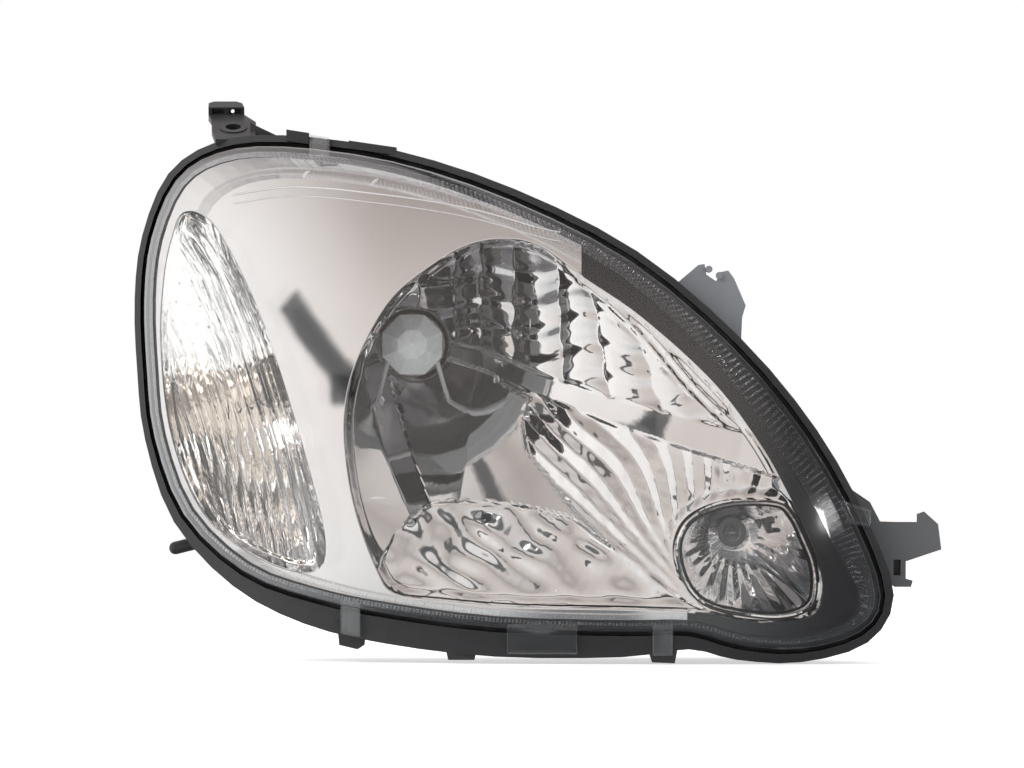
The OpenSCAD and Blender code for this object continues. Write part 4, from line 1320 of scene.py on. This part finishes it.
@dataclass
class Studio:
    """Pale floor, soft lights, a pale room and the camera."""

    distance: float = 6.0
    view_width: float = 0.594
    sensor: float = 36.0
    aim: tuple[float, float, float] = (57.4, -20.0, -22.6)
    lights: Sequence[tuple[tuple[float, float, float], float, float]] = (
        ((-1.6, -1.6, 1.5), 1.3, 34.0), ((1.9, -1.3, 0.9), 0.8, 14.0), ((0.2, 1.6, 1.8), 1.4, 22.0),
        ((-1.0, 1.8, 0.4), 1.0, 10.0))
    softboxes: Sequence[tuple[tuple[float, float, float], tuple[float, float], float]] = (
        ((0.395, -0.917, -0.042), (0.024, 0.036), 15.0), ((-0.30, -0.20, 0.93), (0.10, 0.08), 2.5),
        ((0.30, -0.75, -0.62), (0.08, 0.02), 1.6), ((0.55, -0.75, 0.35), (0.03, 0.14), 1.8))

    def build(self) -> None:
        """Builds the room and the camera."""
        self.add_floor()
        target = Vector((np.array(self.aim) * MM + ORIGIN).tolist())
        for number, (place, size, power) in enumerate(self.lights):
            data = bpy.data.lights.new(f"softbox_{number}", "AREA")
            data.shape, data.size, data.energy = "SQUARE", size, power
            light = bpy.data.objects.new(data.name, data)
            light.location = target + Vector(place)
            light.rotation_euler = (-Vector(place)).to_track_quat("-Z", "Y").to_euler()
            light.visible_glossy = False
            bpy.context.scene.collection.objects.link(light)
        self.add_room()
        data = bpy.data.cameras.new("camera")
        data.sensor_width = self.sensor
        data.lens = self.sensor * self.distance / self.view_width
        data.clip_end = 60.0
        camera = bpy.data.objects.new("camera", data)
        camera.location = target - Vector((0, self.distance, 0))
        camera.rotation_euler = (math.radians(90), 0, 0)
        bpy.context.scene.collection.objects.link(camera)
        bpy.context.scene.camera = camera
        bpy.context.scene.view_settings.view_transform = "Standard"
        log.info("studio: %d lights", len(self.lights))

    def add_floor(self) -> None:
        """Builds the round floor just under the lamp; mirrors see the room in its place."""
        low, high = cad_box
        turn = np.arange(96) * math.tau / 96
        centre = (np.array(low) + np.array(high)) / 2
        ring = [(centre[0] + 14 * math.cos(a), centre[1] + 14 * math.sin(a), low[2] - 0.0005)
                for a in turn]
        mesh = bpy.data.meshes.new("floor")
        mesh.from_pydata(ring, [], [tuple(range(len(ring)))])
        mesh.materials.append(StudioFloor("studio_floor").material())
        floor = bpy.data.objects.new("floor", mesh)
        floor.visible_glossy = False
        bpy.context.scene.collection.objects.link(floor)

    def add_room(self) -> None:
        """Paints the room that the mirrors see; straight behind the lamp it is plain white."""
        world = bpy.data.worlds.new("studio_room")
        bpy.context.scene.world = world
        world.use_nodes = True
        shader = Shader(world.node_tree)
        way = shader.node("ShaderNodeTexCoord", {}, {}, "Generated")
        split = {axis: shader.node("ShaderNodeSeparateXYZ", {}, {0: way}, axis) for axis in "XYZ"}
        up = shader.node("ShaderNodeValToRGB", {"stops": (
            (0.0, (0.07, 0.07, 0.08, 1)), (0.22, (0.16, 0.16, 0.17, 1)), (0.33, (0.60, 0.63, 0.64, 1)),
            (0.45, (0.80, 0.79, 0.78, 1)), (0.60, (0.74, 0.68, 0.65, 1)), (0.72, (0.66, 0.60, 0.57, 1)),
            (0.83, (0.44, 0.39, 0.37, 1)), (1.0, (0.90, 0.88, 0.87, 1)),
        )}, {"Fac": split["Z"] * 0.5 + 0.5})
        room = shader.mix(shader.between(split["X"], -0.6, -0.95), up, (1.05, 1.03, 1.02, 1.0))
        room = shader.mix(shader.between(split["X"], 0.08, 0.42) * 0.8, room, (0.10, 0.10, 0.11, 1.0))
        for direction, tilt, half, soft, depth in self.panels():
            room = self.panel(shader, way, room, direction, tilt, half, soft, depth)
        seen = shader.node("ShaderNodeLightPath", {}, {}, "Is Camera Ray")
        for direction, half, glow in self.softboxes:
            room = self.panel(shader, way, room, Vector(direction), 0.0, half, 0.006, 1.0,
                              (glow, glow, glow, 1.0))
        shown = shader.mix(seen, room, (1.0, 1.0, 1.0, 1.0))
        back = shader.node("ShaderNodeBackground", {}, {"Color": shown, "Strength": 1.0})
        shader.node("ShaderNodeOutputWorld", {}, {"Surface": back})

    def panels(self) -> list[tuple[Vector, float, tuple[float, float], float, float]]:
        """The dark things that stand in the room.

        Returns:
            For each: its direction, how far it is turned about that, its half sizes, how soft its
            edge is, and how dark it is.
        """
        return [
            (Vector((-0.78, -0.523, 0.342)), 36.6, (0.15, 0.032), 0.012, 0.88),
            (Vector((-0.74, -0.63, 0.25)), -10.0, (0.05, 0.035), 0.012, 0.9),
            (Vector((-0.45, -0.35, 0.82)), 35.0, (0.30, 0.045), 0.02, 0.9),
            (Vector((-0.05, -0.45, 0.89)), 25.0, (0.35, 0.055), 0.02, 0.9),
            (Vector((0.04, -1.0, 0.02)), 0.0, (0.04, 0.05), 0.03, 0.6),
            (Vector((0.75, -0.6, 0.1)), 10.0, (0.10, 0.6), 0.04, 0.7),
            (Vector((0.3, -0.5, 0.85)), 20.0, (0.35, 0.05), 0.03, 0.75),
            (Vector((-0.35, -0.75, -0.35)), -15.0, (0.35, 0.10), 0.04, 0.7),
            (Vector((0.9, 0.3, 0.2)), 0.0, (0.3, 0.5), 0.06, 0.6),
            (Vector((-0.2, 0.9, 0.45)), 8.0, (0.5, 0.12), 0.05, 0.5),
        ]

    def panel(self, shader: Shader, way: Signal, room: Signal, direction: Vector, tilt: float,
              half: tuple[float, float], soft: float, depth: float,
              colour: Colour = (0.035, 0.04, 0.045, 1.0)) -> Signal:
        """Paints one dark panel or bright softbox on the room.

        Args:
            shader: where the nodes go.
            way: the direction looked in.
            room: the room's colour so far.
            direction: the panel's middle.
            tilt: how far it is turned, in degrees.
            half: its half width and height, as tangents.
            soft: the width of its soft edge.
            depth: how much of the room it covers, from 0 to 1.
            colour: its own light.

        Returns:
            The room's colour with the panel.
        """
        middle = direction.normalized()
        across = middle.cross(Vector((0, 0, 1))).normalized()
        upward = across.cross(middle)
        turn = math.radians(tilt)
        first = across * math.cos(turn) + upward * math.sin(turn)
        second = upward * math.cos(turn) - across * math.sin(turn)

        def along(axis: Vector) -> Signal:
            """How far the direction reaches along an axis."""
            return shader.node("ShaderNodeVectorMath", {"operation": "DOT_PRODUCT"},
                               {0: way, 1: tuple(axis)}, "Value")

        def within(axis: Vector, reach: float) -> Signal:
            """1 inside the reach, 0 outside."""
            size = shader.node("ShaderNodeMath", {"operation": "ABSOLUTE"}, {0: along(axis)})
            return 1 - shader.between(size, reach - soft, reach + soft)

        ahead = shader.between(along(middle), 0.0, 0.1)
        mask = within(first, half[0]) * within(second, half[1]) * ahead * depth
        return shader.mix(mask, room, colour)


def main() -> None:
    """Builds the lamp's assemblies in order, then the studio."""
    logging.basicConfig(level=logging.INFO, format="%(message)s")
    for assembly in (Housing(), MainReflector(), ParkLamp(), TurnSignal(), Bezels(), Lens()):
        log.info("building %s", type(assembly).__name__)
        assembly.build()
    Studio().build()


if __name__ == "__main__":
    main()
